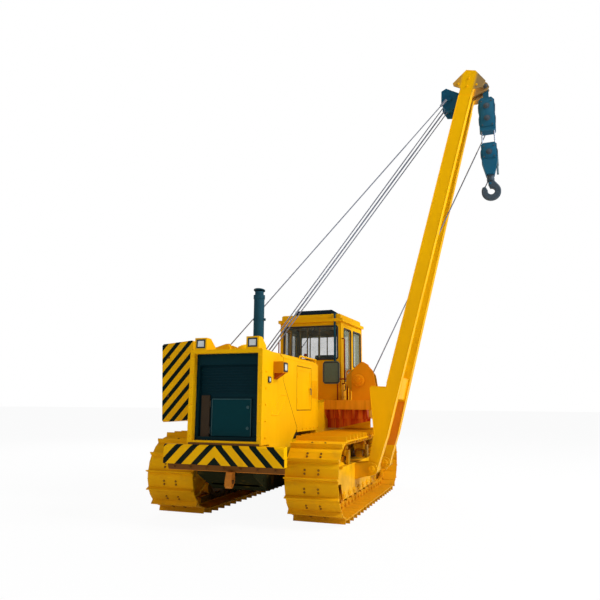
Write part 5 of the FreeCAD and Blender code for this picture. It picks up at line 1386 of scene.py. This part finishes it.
wear(yellow, "boom_front_leg", "boom_cross_tie")
# The rear leg's front face carries red-brown painted shade low down.
wear(enamel("rear_leg_enamel", CHROME_YELLOW, CHALKY_YELLOW, 1.0, rear_leg_shade), "boom_rear_leg")
welds = []
for leg_side in (1, -1):
    for across in (-LEG_HALF_WIDTH, LEG_HALF_WIDTH):
        for out in (-LEG_HALF_DEPTH, LEG_HALF_DEPTH):
            low, high = (1.40 if leg_side > 0 and out < 0 else 0.53), 6.75
            ends = [boom_point(leg_side * leg_middle(up) + across, out, up) for up in (low, high)]
            welds.append(pipe(ends, 0.0055, 0, yellow, 8))
for across in (-LEG_HALF_WIDTH, LEG_HALF_WIDTH):
    line = [boom_point(leg_middle(up) + across, out, up)
            for out, up in ((-0.09, 0.525), (-0.134, 0.617), (-0.364, 1.259))]
    welds.append(pipe(line, 0.006, 0.02, yellow, 8))
    line = [boom_point(leg_middle(up) + across, out, up) for out, up in ((-0.350, 1.290), (-0.108, 1.341))]
    welds.append(pipe(line, 0.006, 0, yellow, 8))
for up in (1.19, 1.56):
    for out in (-0.08, 0.08):
        half = leg_middle(up) - LEG_HALF_WIDTH
        welds.append(pipe([boom_point(-half, out, up), boom_point(half, out, up)], 0.0055, 0, yellow, 8))
assemble("boom_welds", welds, "boom")

# ---------------------------------------------------------------------------------------------------
# Boom head
# A cap of thick plate that joins the legs, with wing plates at its sides. The tackle pin passes through
# two lugs and carries a castle nut at each end; the cap is bolted down at its corners.
# ---------------------------------------------------------------------------------------------------

TACKLE_PIN = (3.62, 7.40)
HOOK_GREY = (0.055, 0.080, 0.105, 1)
INNER_WING_SHADE, OUTER_WING_SHADE = (0.42, 0.22, 0.05, 1), (0.21, 0.155, 0.09, 1)


def head_wing_shade(tree, colour, x, y, z):
    """Painted shade, brown inside and grey-brown outside, on the wing plates to each side of the legs."""
    out = (y - BOOM_FOOT[0]) * math.cos(BOOM_LEAN) - (z - BOOM_FOOT[1]) * math.sin(BOOM_LEAN)
    outer = tree.node("ShaderNodeMapRange", inputs={0: out, 1: 0.095, 2: 0.15})
    inner = tree.node("ShaderNodeMapRange", inputs={0: out, 1: -0.10, 2: -0.15})
    return blended(tree, outer * 0.85, blended(tree, inner * 0.75, colour, INNER_WING_SHADE), OUTER_WING_SHADE)


hook_grey = enamel("hook_enamel", HOOK_GREY, (0.09, 0.10, 0.11, 1), 0.3)
# Painted shade on the head's wing plates.
wear(enamel("head_enamel", CHROME_YELLOW, CHALKY_YELLOW, 0.0, head_wing_shade, 0.03), "boom_head")
head_parts = []
for side in (1, -1):
    x = BOOM_X + side * 0.080
    head_parts.append(turned((x, *TACKLE_PIN), (side, 0, 0), [(-0.03, 0.038), (0.004, 0.038), (0.004, 0.030),
                                                             (0.03, 0.030), (0.034, 0.024)], hook_grey, 20))
    head_parts.append(turned((x + side * 0.006, *TACKLE_PIN), (side, 0, 0),
                             [(0, 0.044), (0.018, 0.044), (0.021, 0.036)], hook_grey, 6))
    for out, up in ((-0.16, 6.98), (0.16, 6.99), (0.0, 7.10), (0.0, 6.95)):
        place = boom_point(side * 0.300, out, up)
        head_parts += set_out(hex_bolt(0.017, (side, 0, 0), yellow), [place])
for side in (1, -1):
    ends = [boom_point(side * 0.29, out, up) for out, up in ((-0.1075, 6.79), (-0.1075, 7.13))]
    head_parts.append(pipe(ends, 0.006, 0, yellow, 8))
assemble("boom_head_fittings", head_parts, "boom")

# ---------------------------------------------------------------------------------------------------
# Boom hoist tackle
# Four falls of greased wire rope from sheaves between the head's cheek plates down to a block in the
# right-hand tower, and the single lead line from the boom winch. The blocks are enamelled petrol blue.
# ---------------------------------------------------------------------------------------------------

BLOCK_BLUE = (0.012, 0.105, 0.19, 1)
FALLS_FOOT = Vector((-0.86, 2.336))


def lean_of(start, end):
    """How far a rope leans outwards from plumb, in radians, from two (y, z) points on it."""
    return math.atan2(end[0] - start[0], end[1] - start[1])


block_blue = enamel("block_enamel", BLOCK_BLUE, (0.03, 0.10, 0.15, 1), 0.3)
wear(block_blue, "boom_tip_block", "boom_lower_block")
falls_rope = wire_rope("falls_rope", lean_of(*[corner[1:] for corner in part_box("boom_falls_lower")]))
lead_rope = wire_rope("lead_rope", lean_of(*[corner[1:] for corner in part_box("boom_lead_lower")]))
wear(falls_rope, "boom_falls_upper", "boom_falls_lower")
wear(lead_rope, "boom_lead_upper", "boom_lead_lower")
tip_pin = boom_point(0, -0.285, 6.740)
tip_parts = [turned((BOOM_X + side * 0.160, tip_pin.y, tip_pin.z), (side, 0, 0),
                    [(-0.004, 0.060), (0.008, 0.060), (0.008, 0.045), (0.030, 0.045), (0.034, 0.036)],
                    block_blue, 24) for side in (1, -1)]
for side in (1, -1):
    for out, up in ((-0.40, 6.90), (-0.25, 6.56), (-0.16, 6.84)):
        tip_parts += set_out(hex_bolt(0.014, (side, 0, 0), block_blue), [boom_point(side * 0.160, out, up)])
assemble("tip_block_pins", tip_parts, "boom")
lower_parts = [turned((BOOM_X + side * 0.155, *FALLS_FOOT), (side, 0, 0),
                      [(-0.004, 0.062), (0.003, 0.062), (0.003, 0.045), (0.008, 0.045)], block_blue, 24)
               for side in (1, -1)]
assemble("lower_block_pins", lower_parts, "falls_lower")

# ---------------------------------------------------------------------------------------------------
# Hook tackle
# Upper and lower blocks of side plates over sheaves, in petrol blue enamel with bolts at their corners and
# rope falls between. The forged hook hangs in a thrust bearing and has a sprung latch of grey sheet.
# ---------------------------------------------------------------------------------------------------

TACKLE_Y = TACKLE_PIN[0]

wear(block_blue, "hook_upper_block", "hook_lower_block")
wear(plumb_rope, "hook_falls")
wear(hook_grey, "load_hook")
socket_grey = enamel("socket_enamel", (0.17, 0.25, 0.28, 1), (0.26, 0.27, 0.27, 1), 0.3)


def block_fittings(levels, sheave_levels, corner_levels, name):
    """Side plates, sheave rims, pins and bolts of one rope block."""
    parts = []
    low, high = levels
    for side in (1, -1):
        face = BOOM_X + side * 0.100
        plate = bedded(face, side, 0.004, 0.011)
        parts.append(block((plate[0], TACKLE_Y - 0.112, low), (plate[1], TACKLE_Y + 0.112, high), 0.005,
                           block_blue))
        for level in sheave_levels:
            nut = (0.024, 0.028) if side > 0 else (0.009, 0.012)        # low beside the load line's sheave
            parts.append(turned((face + side * 0.011, TACKLE_Y, level), (side, 0, 0),
                                [(-0.003, 0.055), (0.007, 0.055), (0.007, 0.036), (nut[0], 0.036),
                                 (nut[1], 0.028)], hook_grey, 24))
        for level in corner_levels:
            parts += set_out(hex_bolt(0.013, (side, 0, 0), hook_grey),
                             [(face + side * 0.011, TACKLE_Y + shift, level) for shift in (-0.085, 0.085)])
    for level in sheave_levels:
        for shift in (-0.06, 0.0, 0.06):
            parts.append(turned((BOOM_X + shift, TACKLE_Y, level), (1, 0, 0),
                                [(-0.020, 0.128), (-0.020, 0.150), (-0.012, 0.150), (-0.004, 0.140),
                                 (0.004, 0.140), (0.012, 0.150), (0.020, 0.150), (0.020, 0.128)],
                                hook_grey, 40))
    assemble(name, parts, "hook_tackle")


block_fittings((6.60, 7.12), (6.76, 7.00), (6.63, 7.09), "upper_block_fittings")
block_fittings((5.99, 6.25), (6.11,), (6.02, 6.22), "lower_block_fittings")
socket = [block((BOOM_X - half, TACKLE_Y + inner, low), (BOOM_X + half, TACKLE_Y + outer, high), 0.012,
                socket_grey)
          for half, inner, outer, low, high in ((0.034, 0.100, 0.152, 5.86, 6.10),
                                                (0.026, 0.110, 0.146, 5.70, 5.88))]
socket.append(turned((BOOM_X - 0.045, TACKLE_Y + 0.126, 6.05), (1, 0, 0),
                     [(0, 0.014), (0.004, 0.018), (0.086, 0.018), (0.090, 0.014)], hook_grey, 12))
assemble("rope_socket", socket, "hook_tackle")

hook_parts = [turned((BOOM_X, TACKLE_Y, 5.60), (0, 0, 1), [(-0.012, 0.062), (0.004, 0.066), (0.046, 0.066),
                                                          (0.054, 0.061)], hook_grey, 28)]
hook_parts += [turned((BOOM_X + side * 0.047, TACKLE_Y - 0.012, 5.535), (side, 0, 0),
                      [(-0.006, 0.020), (0.008, 0.020), (0.011, 0.014)], block_blue, 16) for side in (1, -1)]
latch = block((-0.020, -0.006, -0.055), (0.020, 0.006, 0.055), 0.004, hook_grey)
latch.location = (BOOM_X, TACKLE_Y - 0.072, 5.545)
latch.rotation_euler.x = math.radians(-28)
hook_parts.append(latch)
assemble("hook_collar_and_latch", hook_parts, "hook")

# ---------------------------------------------------------------------------------------------------
# Load line
# One line of greased wire rope from the load winch up to the lead sheave beside the hook's upper block,
# where it enters the tackle.
# ---------------------------------------------------------------------------------------------------

LEAD_SHEAVE = 0.129             # radius of the sheave at the line's top
load_lean = lean_of(*[corner[1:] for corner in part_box("load_line_lower")])
line_top = [reach - LEAD_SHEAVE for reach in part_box("load_line_upper")[1][1:]]
wear(wire_rope("load_rope", load_lean), "load_line_lower")
wear(wire_rope("load_rope_top", load_lean, [*line_top, LEAD_SHEAVE + 0.001]), "load_line_upper")

bpy.context.view_layer.update()
